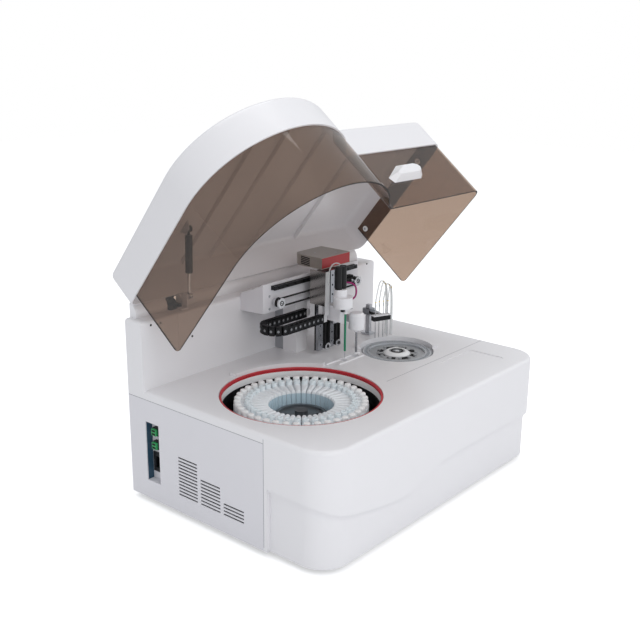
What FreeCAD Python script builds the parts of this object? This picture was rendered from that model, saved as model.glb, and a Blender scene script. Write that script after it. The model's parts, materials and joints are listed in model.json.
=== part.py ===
import FreeCAD, Part
import math
import os

# Benchtop clinical chemistry analyser with its lid open.
# Millimetres. X to the right, Y to the back, Z up, origin on the bench under the middle of its box.

V = FreeCAD.Vector

# Base housing
base_width = 690.0
base_rear = 219.5
base_depth = 485.0
foot_height = 10.0
foot_radius = 17.0
foot_inset_x = 42.0
foot_inset_y = 62.0
wall = 4.0
sheet = 2.0
side_seam_z = 208.0
deck_top = 223.5
cover_seam_y = -126.5
cover_corner = 60.0
deck_edge_round = 8.0
column_front = 174.5
column_top = 353.5
column_round = 6.0
base_front = base_rear - base_depth
half_width = base_width / 2
deck_under = deck_top - wall

# Step that runs across the front cover
crease_inset = 7.0
cover_lip = 8.0
crease_points = [(-362, 140), (-322, 115), (-242, 94), (-139, 79), (-85, 84), (-29, 102), (31, 107),
                 (161, 106), (246, 104), (362, 104)]

# Reagent rotor well
reagent_side = 183.7
reagent_x = reagent_side - half_width
reagent_y = -47.8
reagent_opening = 150.2
gasket_lip = 3.5
pit_radius = reagent_opening - gasket_lip
pit_wall = 3.0
pit_floor = 112.0
gasket_height = 4.0
gasket_grip = 5.8
ledge_width = 15.8
ledge_height = 7.0
ledge_start = 25.0
ledge_end = 97.0

# Reagent rotor and bottles
bottle_count = 40
bottle_inner = 60.0
bottle_outer = 124.0
bottle_gap = 1.1
bottle_height = 86.0
neck_radius = 6.2
neck_height = 8.0
neck_bore = 4.0
neck_bore_depth = 74.0
outer_neck_ring = 117.0
inner_neck_ring = 98.0
tray_thickness = 3.0
tray_clearance = 3.0
hub_radius = 50.0
hub_plate_z = 178.0
rotor_shaft = 6.0
running_gap = 0.05
seat_gap = 0.3

# Reaction rotor
reaction_side = 183.0
reaction_x = half_width - reaction_side
reaction_y = -29.2
reaction_opening = 76.2
reaction_ring = 65.0
cuvette_count = 80
cuvette_segments = 8
cuvette_width = 3.8
cuvette_length = 6.0
cuvette_depth = 28.0
cuvette_ring_in = 58.5
cuvette_ring_out = 72.5
cuvette_top = 221.0
cuvette_height = 32.0
disc_top = 217.0
disc_thickness = 4.0
rim_height = 6.0
rim_width = 11.0

# Probe and mixer line, and the rinse channel under it
probe_x = 38.0
line_y = 11.5
module_pitch = 37.0
mixer_x = probe_x + module_pitch
channel_front = 2.5
channel_back = 18.5
ridge_width = 3.0
ridge_height = 2.5
probe_well_radius = 7.0
probe_well_depth = 69.0
mixer_well_radius = 8.0
mixer_well_depth = 44.0
well_wall = 1.7

# Gantry
gantry_left = -93.0
gantry_right = 205.0
gantry_front = 112.5
gantry_sheet = 5.0
gantry_low = 328.0
gantry_high = 386.0
post_left = 6.0
post_right = 40.0
post_front = 114.5
post_back = 150.5
post_top = 340.0
rail_low = 373.0
rail_height = 8.0
rail_thickness = 10.0
rail_left = -70.0
rail_right = 190.0
drive_x = -62.0
idler_x = 180.0
pulley_z = 348.0
pulley_radius = 8.5
flange_radius = 10.5
flange_width = 2.0
pulley_front = 91.0
belt_thickness = 1.4
belt_front = 94.5
belt_width = 6.0
pin_radius = 3.0
motor_shaft = 2.5

# Carriage
carriage_left = 20.0
carriage_right = 108.0
carriage_sheet = 2.0
carriage_low = 332.0
carriage_high = 396.0
carriage_front = 48.5
carriage_flange = 13.0
carriage_back = 89.5
carriage_flange_low = 312.0
carriage_flange_high = 402.0
slider_left = 60.0
slider_right = 100.0
slider_low = 362.0
slider_high = 392.0
slider_depth = 16.0
cover_left = 54.0
cover_right = 145.0
cover_front = 88.0
cover_back = 166.0
cover_high = 419.0
cover_sheet = 1.5

# Vertical slides on the carriage
frame_left = 22.0
frame_right = 98.0
frame_front = 74.5
frame_back = 78.5
frame_low = 233.5
rail_depth = 6.0
probe_rail_left = 22.0
probe_rail_right = 37.0
mixer_rail_left = 60.0
mixer_rail_right = 72.0
slide_belt_x = (48.0, 82.5)
slide_pulley_z = 239.0
slide_upper_z = 386.0
slide_belt_radius = 6.5
slide_flange_radius = 7.6
slide_belt_front = 65.5
slide_belt_width = 6.0
slider_front = 60.5
slider_back = 68.2

# Probe
probe_travel = 60.0
head_y = 18.5
cell_y = 24.5
probe_head_radius = 19.5
probe_head_low = 333.0
probe_head_step = 355.0
probe_head_high = 370.0
probe_cell_high = 416.0
needle_radius = 1.0
needle_tip = 227.0
sleeve_radius = 2.2
sleeve_low = 243.0
sleeve_high = 321.0

# Mixer
mixer_radius = 16.0
mixer_low = 282.0
mixer_high = 316.0
mixer_rod_radius = 2.0
mixer_tip = 232.0

# Wash station
wash_post_x = reaction_x + 53.0
wash_post_y = 87.5
wash_post_top = 290.0
wash_first_cuvette = 12
wash_needle_count = 4
wash_needle_step = 2
wash_needle_radius = 1.0
wash_needle_low = 234.0
wash_needle_high = 308.0
wash_bar_low = 272.0
wash_bar_high = 282.0

# Lid, drawn closed and then turned open about the hinge
lid_open = 51.1
hinge_y = 221.1
hinge_rise = 7.7
hinge_z = column_top + hinge_rise
hinge_x = half_width - 105.0
hinge_radius = 7.0
lid_left = 1.7 - half_width
lid_right = half_width - 3.0
lid_back = 200.5
lid_split = hinge_z
lid_height = 73.4
lid_top = lid_split + lid_height
lid_wall = 3.0
lid_crown = 12.0
visor_back = 170.5
visor_low = deck_top + 2.5
visor_overlap = 36.0
visor_sheet = 3.0
visor_gap = 0.2
bow_x = reagent_x + 8.2
bow_y = -53.8
bow_side = 160.0
bow_side_shift = 30.2
bow_front_y = -223.6
notch_front = -130.8
notch_fillet = 30.0
lid_corner = 26.0
rib_height = 8.0
rib_places = [bow_x + d for d in (-131.9, -16.9, 58.1, 173.1, 313.1)]
handle_width = 110.0
handle_height = 40.0
handle_left = lid_right - 254.0
handle_right = handle_left + handle_width
handle_low = lid_split - 79.2
handle_high = handle_low + handle_height
handle_depth = 14.0

# Gas spring between the column top and the lid
strut_x = 131.0 - half_width
strut_lid_y = 86.9
strut_lid_z = lid_top - 10.7
strut_base_y = 189.5
strut_base_z = column_top + 22.5
strut_radius = 7.0
strut_rod = 3.5
strut_body = 72.0
eye_radius = 6.5
eye_width = 2 * strut_rod + 0.6


def box(x0, x1, y0, y1, z0, z1):
    return Part.makeBox(x1 - x0, y1 - y0, z1 - z0, V(x0, y0, z0))


def disc(x, y, z0, z1, r):
    return Part.makeCylinder(r, z1 - z0, V(x, y, z0))


def bar_x(y, z, x0, x1, r):
    return Part.makeCylinder(r, x1 - x0, V(x0, y, z), V(1, 0, 0))


def bar_y(x, z, y0, y1, r):
    return Part.makeCylinder(r, y1 - y0, V(x, y0, z), V(0, 1, 0))


def ring(x, y, z0, z1, r_in, r_out):
    return disc(x, y, z0, z1, r_out).cut(disc(x, y, z0, z1, r_in))


def join(first, *others):
    return first.multiFuse(list(others)).removeSplitter()


def prism(points, z0, z1):
    wire = Part.makePolygon([V(x, y, z0) for x, y in points + points[:1]])
    return Part.Face(wire).extrude(V(0, 0, z1 - z0))


def prism_x(points, x0, x1):
    wire = Part.makePolygon([V(x0, y, z) for y, z in points + points[:1]])
    return Part.Face(wire).extrude(V(x1 - x0, 0, 0))


def prism_y(points, y0, y1):
    wire = Part.makePolygon([V(x, y0, z) for x, z in points + points[:1]])
    return Part.Face(wire).extrude(V(0, y1 - y0, 0))


def round_column(sides, x, y, z0, z1, r, turn=0.0):
    # A low-facet stand-in for a small round part that repeats many times.
    step = 2 * math.pi / sides
    points = [(x + r * math.cos(turn + i * step), y + r * math.sin(turn + i * step)) for i in range(sides)]
    return prism(points, z0, z1)


def polar(cx, cy, r, degrees):
    a = math.radians(degrees)
    return cx + r * math.cos(a), cy + r * math.sin(a)


def turned(shape, cx, cy, degrees):
    copy = shape.copy()
    copy.rotate(V(cx, cy, 0), V(0, 0, 1), degrees)
    return copy


def sector(cx, cy, z0, z1, r_in, r_out, start, end):
    # Part of a ring between two angles.
    outer = Part.makeCylinder(r_out, z1 - z0, V(cx, cy, z0), V(0, 0, 1), end - start)
    return turned(outer.cut(disc(cx, cy, z0, z1, r_in)), cx, cy, start)


def group(shapes):
    return Part.makeCompound(shapes)


def save(name, shape):
    shape.exportStep(os.path.join("parts", name + ".step"))


# Reach of the carriage, from the rotors that it serves
needle_angle = 180.0 - math.degrees(math.asin((line_y - reaction_y) / reaction_ring))
cuvette_pitch = 360.0 / cuvette_count
cuvette_start = needle_angle % cuvette_pitch
neck_angle = math.degrees(math.asin((line_y - reagent_y) / inner_neck_ring))
bottle_pitch = 360.0 / bottle_count
bottle_start = neck_angle % bottle_pitch


def cover_outline(inset):
    # Plan of the front cover: square at the seam, well rounded at both front corners.
    x = half_width - inset
    y = base_front + inset
    r = cover_corner - inset
    k = r * (1 - math.sqrt(0.5))
    edges = [
        Part.LineSegment(V(-x, cover_seam_y, 0), V(-x, y + r, 0)),
        Part.Arc(V(-x, y + r, 0), V(-x + k, y + k, 0), V(-x + r, y, 0)),
        Part.LineSegment(V(-x + r, y, 0), V(x - r, y, 0)),
        Part.Arc(V(x - r, y, 0), V(x - k, y + k, 0), V(x, y + r, 0)),
        Part.LineSegment(V(x, y + r, 0), V(x, cover_seam_y, 0)),
        Part.LineSegment(V(x, cover_seam_y, 0), V(-x, cover_seam_y, 0)),
    ]
    return Part.Face(Part.Wire([e.toShape() for e in edges]))


def cover_block(inset, z0, z1):
    face = cover_outline(inset)
    face.translate(V(0, 0, z0))
    return face.extrude(V(0, 0, z1 - z0))


def under_crease(drop):
    # Everything below the flowing line across the front, lowered by drop.
    curve = Part.BSplineCurve()
    curve.interpolate([V(x, base_front - 5, z - drop) for x, z in crease_points])
    left, right = crease_points[0], crease_points[-1]
    low = foot_height - 5
    corners = [V(right[0], base_front - 5, right[1] - drop), V(right[0], base_front - 5, low),
               V(left[0], base_front - 5, low), V(left[0], base_front - 5, left[1] - drop)]
    wire = Part.Wire([curve.toShape()] + [Part.makeLine(a, b) for a, b in zip(corners, corners[1:])])
    return Part.Face(wire).extrude(V(0, cover_seam_y - base_front + 10, 0))


def front_cover():
    body = cover_block(0, foot_height, deck_top)
    top = [e for e in body.Edges if e.BoundBox.ZMin > deck_top - 0.1 and e.BoundBox.YMin < cover_seam_y - 1]
    body = body.makeFillet(deck_edge_round, top)
    for share, drop in ((0.35, 0.0), (0.75, 3.0), (1.0, 8.0)):
        skin = cover_block(0, foot_height, deck_top - 30)
        skin = skin.cut(cover_block(crease_inset * share, foot_height, deck_top - 30))
        skin = skin.cut(box(-half_width, half_width, cover_seam_y - cover_lip, cover_seam_y, foot_height, deck_top))
        body = body.cut(skin.common(under_crease(drop)))
    inner = cover_block(crease_inset + wall, foot_height, deck_under)
    body = body.cut(inner)
    body = body.cut(disc(reagent_x, reagent_y, deck_under - 1, deck_top + 1, reagent_opening))
    tray = box(reaction_x - 19, reaction_x + 105, base_front + 41.5, base_front + 124.5, deck_top - 1.5, deck_top + 1)
    tray = tray.makeFillet(9, [e for e in tray.Edges if abs(e.BoundBox.ZLength) > 2])
    return body.cut(tray)


def upper_housing():
    r = deck_edge_round
    w = half_width
    deck = box(-w, w, cover_seam_y, column_front + 20, side_seam_z, deck_top)
    deck = deck.makeFillet(r, [e for e in deck.Edges if e.BoundBox.YLength > 100 and e.BoundBox.ZMin > deck_top - 0.1])
    column = box(-w, w, column_front, base_rear, side_seam_z, column_top)
    lip = [e for e in column.Edges if e.BoundBox.ZMin > column_top - 0.1 and e.BoundBox.YMin < base_rear - 1]
    column = column.makeFillet(column_round, lip)
    body = deck.fuse(column)
    hollow = box(-w + wall, w - wall, cover_seam_y, column_front + wall, side_seam_z, deck_under)
    hollow = hollow.fuse(box(-w + wall, w - wall, column_front + wall, base_rear, side_seam_z, column_top - wall))
    body = body.cut(hollow)
    ledge = sector(reagent_x, reagent_y, deck_top, deck_top + ledge_height, reagent_opening,
                   reagent_opening + ledge_width, ledge_start, ledge_end)
    rim = sector(reaction_x, reaction_y, deck_top, deck_top + rim_height, reaction_opening,
                 reaction_opening + rim_width, -40, 125)
    back_ridge = box(-9, 96, channel_back, channel_back + ridge_width, deck_top, deck_top + ridge_height)
    front_ridge = box(8, 87, channel_front - ridge_width, channel_front, deck_top, deck_top + ridge_height)
    body = join(body, ledge, rim, back_ridge, front_ridge)
    cuts = [disc(reagent_x, reagent_y, deck_under - 1, deck_top + 20, reagent_opening),
            disc(reaction_x, reaction_y, deck_under - 1, deck_top + 20, reaction_opening)]
    cuts += [disc(x, line_y, deck_under - 1, deck_top + 1, r) for x, r, depth in wells()]
    for cut in cuts:
        body = body.cut(cut)
    return body


# Left panel openings: louvres in three stepped blocks, and the connector window
vent_blocks = [(36.4, 86.4), (-21.6, 28.4), (-79.6, -29.6)]
vent_counts = (12, 8, 4)
vent_low = 44.5
vent_pitch = 6.6
vent_slot = 3.2
window_front = 137.5
window_back = 174.0
window_low = 47.0
window_high = 165.0
window_depth = 15.0


def side_panel(side):
    x0 = -half_width if side < 0 else half_width - sheet
    body = box(x0, x0 + sheet, cover_seam_y, base_rear, foot_height, side_seam_z)
    slots = []
    for (y0, y1), count in zip(vent_blocks, vent_counts):
        for i in range(count):
            z = vent_low + i * vent_pitch
            slots.append(box(x0 - 1, x0 + sheet + 1, y0, y1, z, z + vent_slot))
    if side < 0:
        slots.append(box(x0 - 1, x0 + sheet + 1, window_front, window_back, window_low, window_high))
    return body.cut(Part.makeCompound(slots))


def io_panel():
    # Shallow box behind the window, open to the outside.
    x = -half_width + sheet
    outer = box(x, x + window_depth, window_front - 1.5, window_back + 1.5, window_low - 1.5, window_high + 1.5)
    inner = box(x, x + window_depth - 1.5, window_front, window_back, window_low, window_high)
    floor_x = x + window_depth - 1.5
    body = outer.cut(inner)
    body = body.cut(box(floor_x - 1, floor_x + 3, 143, 168, 66, 99))
    for z in (119.0, 146.0):
        body = body.cut(box(floor_x - 1, floor_x + 3, 148, 164, z - 8, z + 8))
    return body


def power_inlet():
    floor_x = -half_width + sheet + window_depth - 1.5
    flange = box(floor_x - 2.5, floor_x, 140.5, 170.5, 63, 102)
    barrel = box(floor_x, floor_x + 22, 143.3, 167.7, 66.3, 98.7)
    body = flange.fuse(barrel)
    body = body.cut(box(floor_x - 3, floor_x + 16, 147, 164, 71, 94))
    pins = [box(floor_x + 4, floor_x + 16, 154.5, 156.5, z - 2.5, z + 2.5) for z in (76.0, 82.5, 89.0)]
    return join(body, *pins)


def data_ports():
    floor_x = -half_width + sheet + window_depth - 1.5
    ports = []
    for z in (119.0, 146.0):
        body = box(floor_x - 8, floor_x + 10, 148.3, 163.7, z - 7.7, z + 7.7)
        holes = [box(floor_x - 9, floor_x - 2, 150.5, 161.5, z + dz - 2.4, z + dz + 2.4) for dz in (-3.8, 3.8)]
        ports.append(body.cut(Part.makeCompound(holes)))
    return group(ports)


def rear_panel():
    x = half_width - wall
    body = box(-x, x, base_rear - sheet, base_rear, foot_height + sheet, column_top - wall)
    slots = []
    for i in range(9):
        z = 118 + i * 8.0
        reach = math.sqrt(max(38.0 ** 2 - (z + 2 - 152) ** 2, 100.0))
        slots.append(box(half_width - 165 - reach, half_width - 165 + reach, base_rear - sheet - 1, base_rear + 1, z, z + 4))
    for i in range(6):
        z = 60 + i * 7.0
        slots.append(box(115 - half_width, 235 - half_width, base_rear - sheet - 1, base_rear + 1, z, z + 3.4))
    return body.cut(Part.makeCompound(slots))


def base_pan():
    # Folded tray: floor with upstands along the sides and the back.
    x = half_width - sheet
    y = base_rear - sheet
    floor = box(-x, x, cover_seam_y, y, foot_height, foot_height + sheet)
    front = cover_block(crease_inset + wall + seat_gap, foot_height, foot_height + sheet)
    left = box(-x, -x + sheet, cover_seam_y, y, foot_height, foot_height + 22)
    right = box(x - sheet, x, cover_seam_y, y, foot_height, foot_height + 22)
    return join(floor, front, left, right)


def feet():
    x = half_width - foot_inset_x
    y0 = base_front + foot_inset_y
    y1 = base_rear - foot_inset_y
    shapes = []
    for cx, cy in ((-x, y0), (x, y0), (-x, y1), (x, y1)):
        foot = Part.makeCone(foot_radius - 2, foot_radius, foot_height, V(cx, cy, 0))
        shapes.append(foot)
    return group(shapes)


def reagent_pit():
    top = deck_under - gasket_height
    body = disc(reagent_x, reagent_y, pit_floor, top, pit_radius + pit_wall)
    flange = disc(reagent_x, reagent_y, top - pit_wall, top, reagent_opening + gasket_grip + 4)
    cover_inside = base_front + crease_inset + wall + seat_gap
    body = body.fuse(flange.common(box(-half_width, half_width, cover_inside, base_rear, top - pit_wall, top)))
    body = body.cut(disc(reagent_x, reagent_y, pit_floor + pit_wall, top + 1, pit_radius))
    return body.cut(disc(reagent_x, reagent_y, pit_floor - 1, pit_floor + 10, rotor_shaft + 2))


def pit_gasket():
    return ring(reagent_x, reagent_y, deck_under - gasket_height, deck_under, pit_radius,
                reagent_opening + gasket_grip)


def reagent_rotor():
    low = pit_floor + pit_wall + tray_clearance
    tray = disc(reagent_x, reagent_y, low, low + tray_thickness, bottle_outer + 1)
    stem = disc(reagent_x, reagent_y, low, hub_plate_z, 14)
    plate = disc(reagent_x, reagent_y, hub_plate_z, hub_plate_z + 3, hub_radius)
    lip = ring(reagent_x, reagent_y, hub_plate_z + 3, hub_plate_z + 7, hub_radius - 8, hub_radius - 2)
    knob = disc(reagent_x, reagent_y, hub_plate_z + 3, hub_plate_z + 14, 12)
    shaft = disc(reagent_x, reagent_y, pit_floor - 24, low, rotor_shaft)
    body = join(tray, stem, plate, lip, knob, shaft)
    holes = [disc(*polar(reagent_x, reagent_y, 30, a), hub_plate_z - 1, hub_plate_z + 8, 7) for a in (45, 135, 225, 315)]
    return body.cut(Part.makeCompound(holes))


def reagent_bottles():
    low = pit_floor + pit_wall + tray_clearance + tray_thickness
    high = low + bottle_height
    half = math.radians(bottle_pitch / 2)
    w_in = bottle_inner * math.tan(half) - bottle_gap / 2
    w_out = bottle_outer * math.tan(half) - bottle_gap
    nose = 5.0
    cx, cy = reagent_x, reagent_y
    outline = [(cx + bottle_inner, cy - w_in), (cx + bottle_outer - nose, cy - w_out), (cx + bottle_outer, cy - w_out + nose),
               (cx + bottle_outer, cy + w_out - nose), (cx + bottle_outer - nose, cy + w_out), (cx + bottle_inner, cy + w_in)]
    body = prism(outline, low, high)
    outer = round_column(10, cx + outer_neck_ring, cy, high, high + neck_height, neck_radius)
    inner = round_column(10, cx + inner_neck_ring, cy, high, high + neck_height, neck_radius)
    bore = round_column(6, cx + inner_neck_ring, cy, high + neck_height - neck_bore_depth, high + neck_height + 1, neck_bore)
    bottle = body.fuse([outer, inner]).cut(bore)
    return group([turned(bottle, cx, cy, bottle_start + i * bottle_pitch) for i in range(bottle_count)])


def rotor_motors():
    # Two flange motors hung under the wells, each bored for its rotor's shaft.
    shapes = []
    for x, y, top in ((reagent_x, reagent_y, pit_floor), (reaction_x, reaction_y, bath_floor)):
        body = box(x - 28, x + 28, y - 28, y + 28, top - 46, top)
        body = body.makeChamfer(6, [e for e in body.Edges if e.BoundBox.ZLength > 40])
        shapes.append(body.cut(disc(x, y, top - 30, top + 1, rotor_shaft + running_gap)))
    return group(shapes)


bath_floor = 180.0
bath_wall = 2.5


def reaction_bath():
    # Ring-shaped warm bath that the cuvettes hang in, with a flange under the deck.
    top = deck_under
    x, y = reaction_x, reaction_y
    r = cuvette_ring_out + 1.5
    body = disc(x, y, bath_floor, top, r + bath_wall)
    body = body.fuse(disc(x, y, top - 3, top, reaction_opening + 8))
    body = body.cut(disc(x, y, bath_floor + bath_wall, top + 1, r))
    body = body.fuse(disc(x, y, bath_floor, disc_top - disc_thickness - 6, cuvette_ring_in - 3))
    return body.cut(disc(x, y, bath_floor - 1, top + 1, rotor_shaft + 2))


def reaction_disc():
    x, y = reaction_x, reaction_y
    r = cuvette_ring_in - seat_gap
    plate = disc(x, y, disc_top - disc_thickness, disc_top, r)
    hub = disc(x, y, disc_top, disc_top + 5, 17).cut(disc(x, y, disc_top + 2, disc_top + 6, 9))
    shaft = disc(x, y, bath_floor - 24, disc_top - disc_thickness, rotor_shaft)
    bosses = [disc(*polar(x, y, 40, a), disc_top, disc_top + 3, 3.4) for a in range(15, 360, 30)]
    return join(plate, hub, shaft, *bosses)


def cuvettes():
    # Eight ring segments, each moulded with its row of square wells.
    x, y = reaction_x, reaction_y
    span = 360.0 / cuvette_segments
    per = cuvette_count // cuvette_segments
    low = cuvette_top - cuvette_height
    body = sector(x, y, low, cuvette_top, cuvette_ring_in, cuvette_ring_out, -span / 2 + 0.15, span / 2 - 0.15)
    wells = []
    for i in range(per):
        well = box(x + reaction_ring - cuvette_length / 2, x + reaction_ring + cuvette_length / 2,
                   y - cuvette_width / 2, y + cuvette_width / 2, cuvette_top - cuvette_depth, cuvette_top + 1)
        wells.append(turned(well, x, y, (i - (per - 1) / 2) * cuvette_pitch))
    body = body.cut(Part.makeCompound(wells))
    first = cuvette_start + (per - 1) / 2 * cuvette_pitch
    return group([turned(body, x, y, first + i * span) for i in range(cuvette_segments)])


def wells():
    return ((probe_x, probe_well_radius, probe_well_depth), (mixer_x, mixer_well_radius, mixer_well_depth))


def rinse_wells():
    # Two cups under the channel, where probe and mixer are rinsed at rest.
    shapes = []
    for x, r, depth in wells():
        cup = disc(x, line_y, deck_under - depth, deck_under, r + well_wall)
        shapes.append(cup.cut(disc(x, line_y, deck_under - depth + 2, deck_under + 1, r)))
    return group(shapes)


def power_supply():
    x = 25.0 - half_width
    body = box(x, x + 105, 60, 196, foot_height + sheet, foot_height + sheet + 46)
    slots = [box(x + 14 + i * 9, x + 18 + i * 9, 100, 160, foot_height + sheet + 43, foot_height + sheet + 50) for i in range(9)]
    return body.cut(Part.makeCompound(slots))


def main_board():
    z = foot_height + sheet
    board = box(-20, 150, 60, 200, z + 8, z + 9.6)
    posts = [disc(x, y, z, z + 8, 3) for x in (-12, 142) for y in (68, 192)]
    chips = [box(x, x + 24, y, y + 24, z + 9.6, z + 12.6) for x in (10, 70) for y in (90, 140)]
    return join(board, *posts, *chips)


def syringe_pumps():
    z = foot_height + sheet
    shapes = []
    for x in (half_width - 145.0, half_width - 93.0):
        body = box(x - 18, x + 18, 140, 190, z, z + 110)
        barrel = disc(x, 130, z + 30, z + 110, 7)
        shapes.append(join(body, barrel, box(x - 7, x + 7, 130, 140, z + 30, z + 40), box(x - 7, x + 7, 130, 140, z + 95, z + 105)))
    return group(shapes)


def photometer():
    # Lamp house bolted beside the bath.
    x0 = reaction_x + reaction_opening + 14
    body = box(x0, x0 + 42, reaction_y - 22, reaction_y + 22, 150, 200)
    fins = [box(x0 + 4, x0 + 38, reaction_y - 20 + i * 8, reaction_y - 17 + i * 8, 200, 210) for i in range(6)]
    bracket = box(x0 - 14.5, x0, reaction_y - 10, reaction_y + 10, 184, 190)
    strap = box(x0 + 42, half_width - sheet, reaction_y - 8, reaction_y + 8, 160, 164)
    return join(body, bracket, strap, *fins)


def gantry_post():
    # Upright that carries the gantry plate, with the end plate of the cable chain on its front.
    y1 = gantry_front + gantry_sheet
    low = box(post_left, post_right, post_front, post_back, deck_top, gantry_low)
    high = box(post_left, post_right, y1, post_back, gantry_low, post_top)
    tab = box(chain_fixed_x + 0.4, chain_fixed_x + 10, chain_back_y - 4, post_front, chain_low + 3, chain_high - 3)
    return join(low, high, tab)


def post_spacer():
    return box(post_left + 2, post_right - 2, post_back, column_front, deck_top, post_top - 6)


def gantry_plate():
    y1 = gantry_front + gantry_sheet
    plate = box(gantry_left, gantry_right, gantry_front, y1, gantry_low, gantry_high)
    wing = prism_x([(gantry_front, gantry_low), (gantry_front, gantry_high), (column_front - 6, gantry_high - 24),
                    (column_front, gantry_high - 26), (column_front, gantry_low - 3)], gantry_left, gantry_left + 3)
    pin = bar_y(idler_x, pulley_z, pulley_front + 1, gantry_front, pin_radius)
    body = join(plate, wing, pin)
    body = body.cut(bar_y(drive_x, pulley_z, gantry_front - 1, y1 + 1, motor_shaft + 2))
    holes = [(drive_x - 13, pulley_z + 13), (drive_x - 13, pulley_z - 13), (drive_x + 15, pulley_z - 13),
             (drive_x + 4, gantry_high - 14)]
    return body.cut(Part.makeCompound([bar_y(x, z, gantry_front - 1, y1 + 1, 1.8) for x, z in holes]))


def x_rail():
    body = box(rail_left, rail_right, gantry_front - rail_thickness, gantry_front, rail_low, rail_low + rail_height)
    groove = 2.0
    y = gantry_front - rail_thickness / 2
    for z0, z1 in ((rail_low - 1, rail_low + groove), (rail_low + rail_height - groove, rail_low + rail_height + 1)):
        body = body.cut(box(rail_left - 1, rail_right + 1, y - 1.5, y + 1.5, z0, z1))
    count = int((rail_right - rail_left - 10) // 24)
    bores = [bar_y(rail_left + 12 + i * 24, rail_low + rail_height / 2, gantry_front - rail_thickness - 1,
                   gantry_front - rail_thickness + 3, 2.0) for i in range(count + 1)]
    return body.cut(Part.makeCompound(bores))


def x_motor():
    y0 = gantry_front + gantry_sheet
    body = box(drive_x - 21, drive_x + 21, y0, y0 + 38, pulley_z - 21, pulley_z + 21)
    body = body.makeChamfer(4, [e for e in body.Edges if e.BoundBox.YLength > 30])
    return body.cut(bar_y(drive_x, pulley_z, y0 - 1, y0 + 16, motor_shaft + running_gap))


def flanged_pulley(x):
    # Toothed belt wheel between two flanges, on a line along Y.
    hub = bar_y(x, pulley_z, pulley_front, gantry_front - 1, pulley_radius - belt_thickness)
    front = bar_y(x, pulley_z, pulley_front, pulley_front + flange_width, flange_radius)
    inner = bar_y(x, pulley_z, belt_front - flange_width - 0.5, belt_front - 0.5, flange_radius)
    back = bar_y(x, pulley_z, belt_front + belt_width + 0.5, belt_front + belt_width + 0.5 + flange_width, flange_radius)
    return join(hub, front, inner, back)


def x_drive_pulley():
    shaft = bar_y(drive_x, pulley_z, pulley_front + 1, gantry_front + gantry_sheet + 14, motor_shaft)
    return join(flanged_pulley(drive_x), shaft)


def x_idler_pulley():
    bore = bar_y(idler_x, pulley_z, pulley_front - 1, gantry_front + 1, pin_radius + running_gap)
    return flanged_pulley(idler_x).cut(bore)


def stadium_xz(r, y0, y1):
    a = box(drive_x, idler_x, y0, y1, pulley_z - r, pulley_z + r)
    return join(a, bar_y(drive_x, pulley_z, y0, y1, r), bar_y(idler_x, pulley_z, y0, y1, r))


def x_belt():
    y1 = belt_front + belt_width
    inner = pulley_radius - belt_thickness + seat_gap
    return stadium_xz(inner + belt_thickness, belt_front, y1).cut(stadium_xz(inner, belt_front - 1, y1 + 1))


# Cable chain: a flat loop lying on its side beside the gantry
chain_low = 298.0
chain_high = 316.0
chain_front_y = 54.5
chain_back_y = 108.5
chain_thickness = 10.0
chain_bend_x = -88.0
chain_fixed_x = 28.0
chain_moving_x = 18.0
chain_link = 12.0


def chain_link_shape(length):
    # One link: a hollow frame with a round window in each side plate.
    h = chain_high - chain_low
    t = chain_thickness / 2
    body = Part.makeBox(length, chain_thickness, h, V(-length / 2, -t, chain_low))
    body = body.cut(Part.makeBox(length + 2, chain_thickness - 3, h - 5, V(-length / 2 - 1, -t + 1.5, chain_low + 2.5)))
    hole = bar_y(0, (chain_low + chain_high) / 2, -t - 1, t + 1, 1.9)
    return body.cut(hole)


def cable_chain():
    bend = (chain_back_y - chain_front_y) / 2
    mid = (chain_back_y + chain_front_y) / 2
    gap = 0.4
    links = []
    straight_back = chain_fixed_x - chain_bend_x
    straight_front = chain_moving_x - chain_bend_x
    for x_end, y, straight in ((chain_fixed_x, chain_back_y, straight_back), (chain_moving_x, chain_front_y, straight_front)):
        count = int(straight // chain_link)
        pitch = straight / count
        for i in range(count):
            link = chain_link_shape(pitch - gap)
            link.translate(V(x_end - (i + 0.5) * pitch, y, 0))
            links.append(link)
    arc_count = 8
    for i in range(arc_count):
        angle = 90.0 + (i + 0.5) * 180.0 / arc_count
        chord = 2 * (bend - chain_thickness / 2) * math.tan(math.pi / arc_count / 2) - gap
        link = chain_link_shape(chord)
        link.rotate(V(0, 0, 0), V(0, 0, 1), angle - 90.0)
        link.translate(V(*polar(chain_bend_x, mid, bend, angle), 0))
        links.append(link)
    return group(links)


def carriage_frame():
    # Bent plate: a polished side with a front flange, and a back plate behind the vertical frame.
    s = carriage_sheet
    x0, x1 = carriage_left, carriage_right
    side = box(x0, x0 + s, carriage_front, carriage_back, carriage_low, carriage_flange_high)
    flange = box(x0, x0 + carriage_flange, carriage_front, carriage_front + s, carriage_flange_low, carriage_flange_high)
    back = box(x0, x1, carriage_back - 3, carriage_back, carriage_low, carriage_high)
    tab = box(chain_moving_x + 0.4, x0 + 8, carriage_front + s, carriage_front + s + 7, chain_low + 1, chain_high - 1)
    return join(side, flange, back, tab)


def x_slider():
    # Grooved block that rides on the rail, with the belt clamp below it.
    y0 = carriage_back
    y1 = y0 + slider_depth
    body = box(slider_left, slider_right, y0, y1, slider_low, slider_high)
    g = seat_gap
    track = box(0, 200, gantry_front - rail_thickness - g, y1 + 1, rail_low - g, rail_low + rail_height + g)
    clamp = box(slider_right - 15, slider_right - 5, y0, belt_front - seat_gap, pulley_z + 4, slider_low)
    return join(body, clamp).cut(track)


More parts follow.
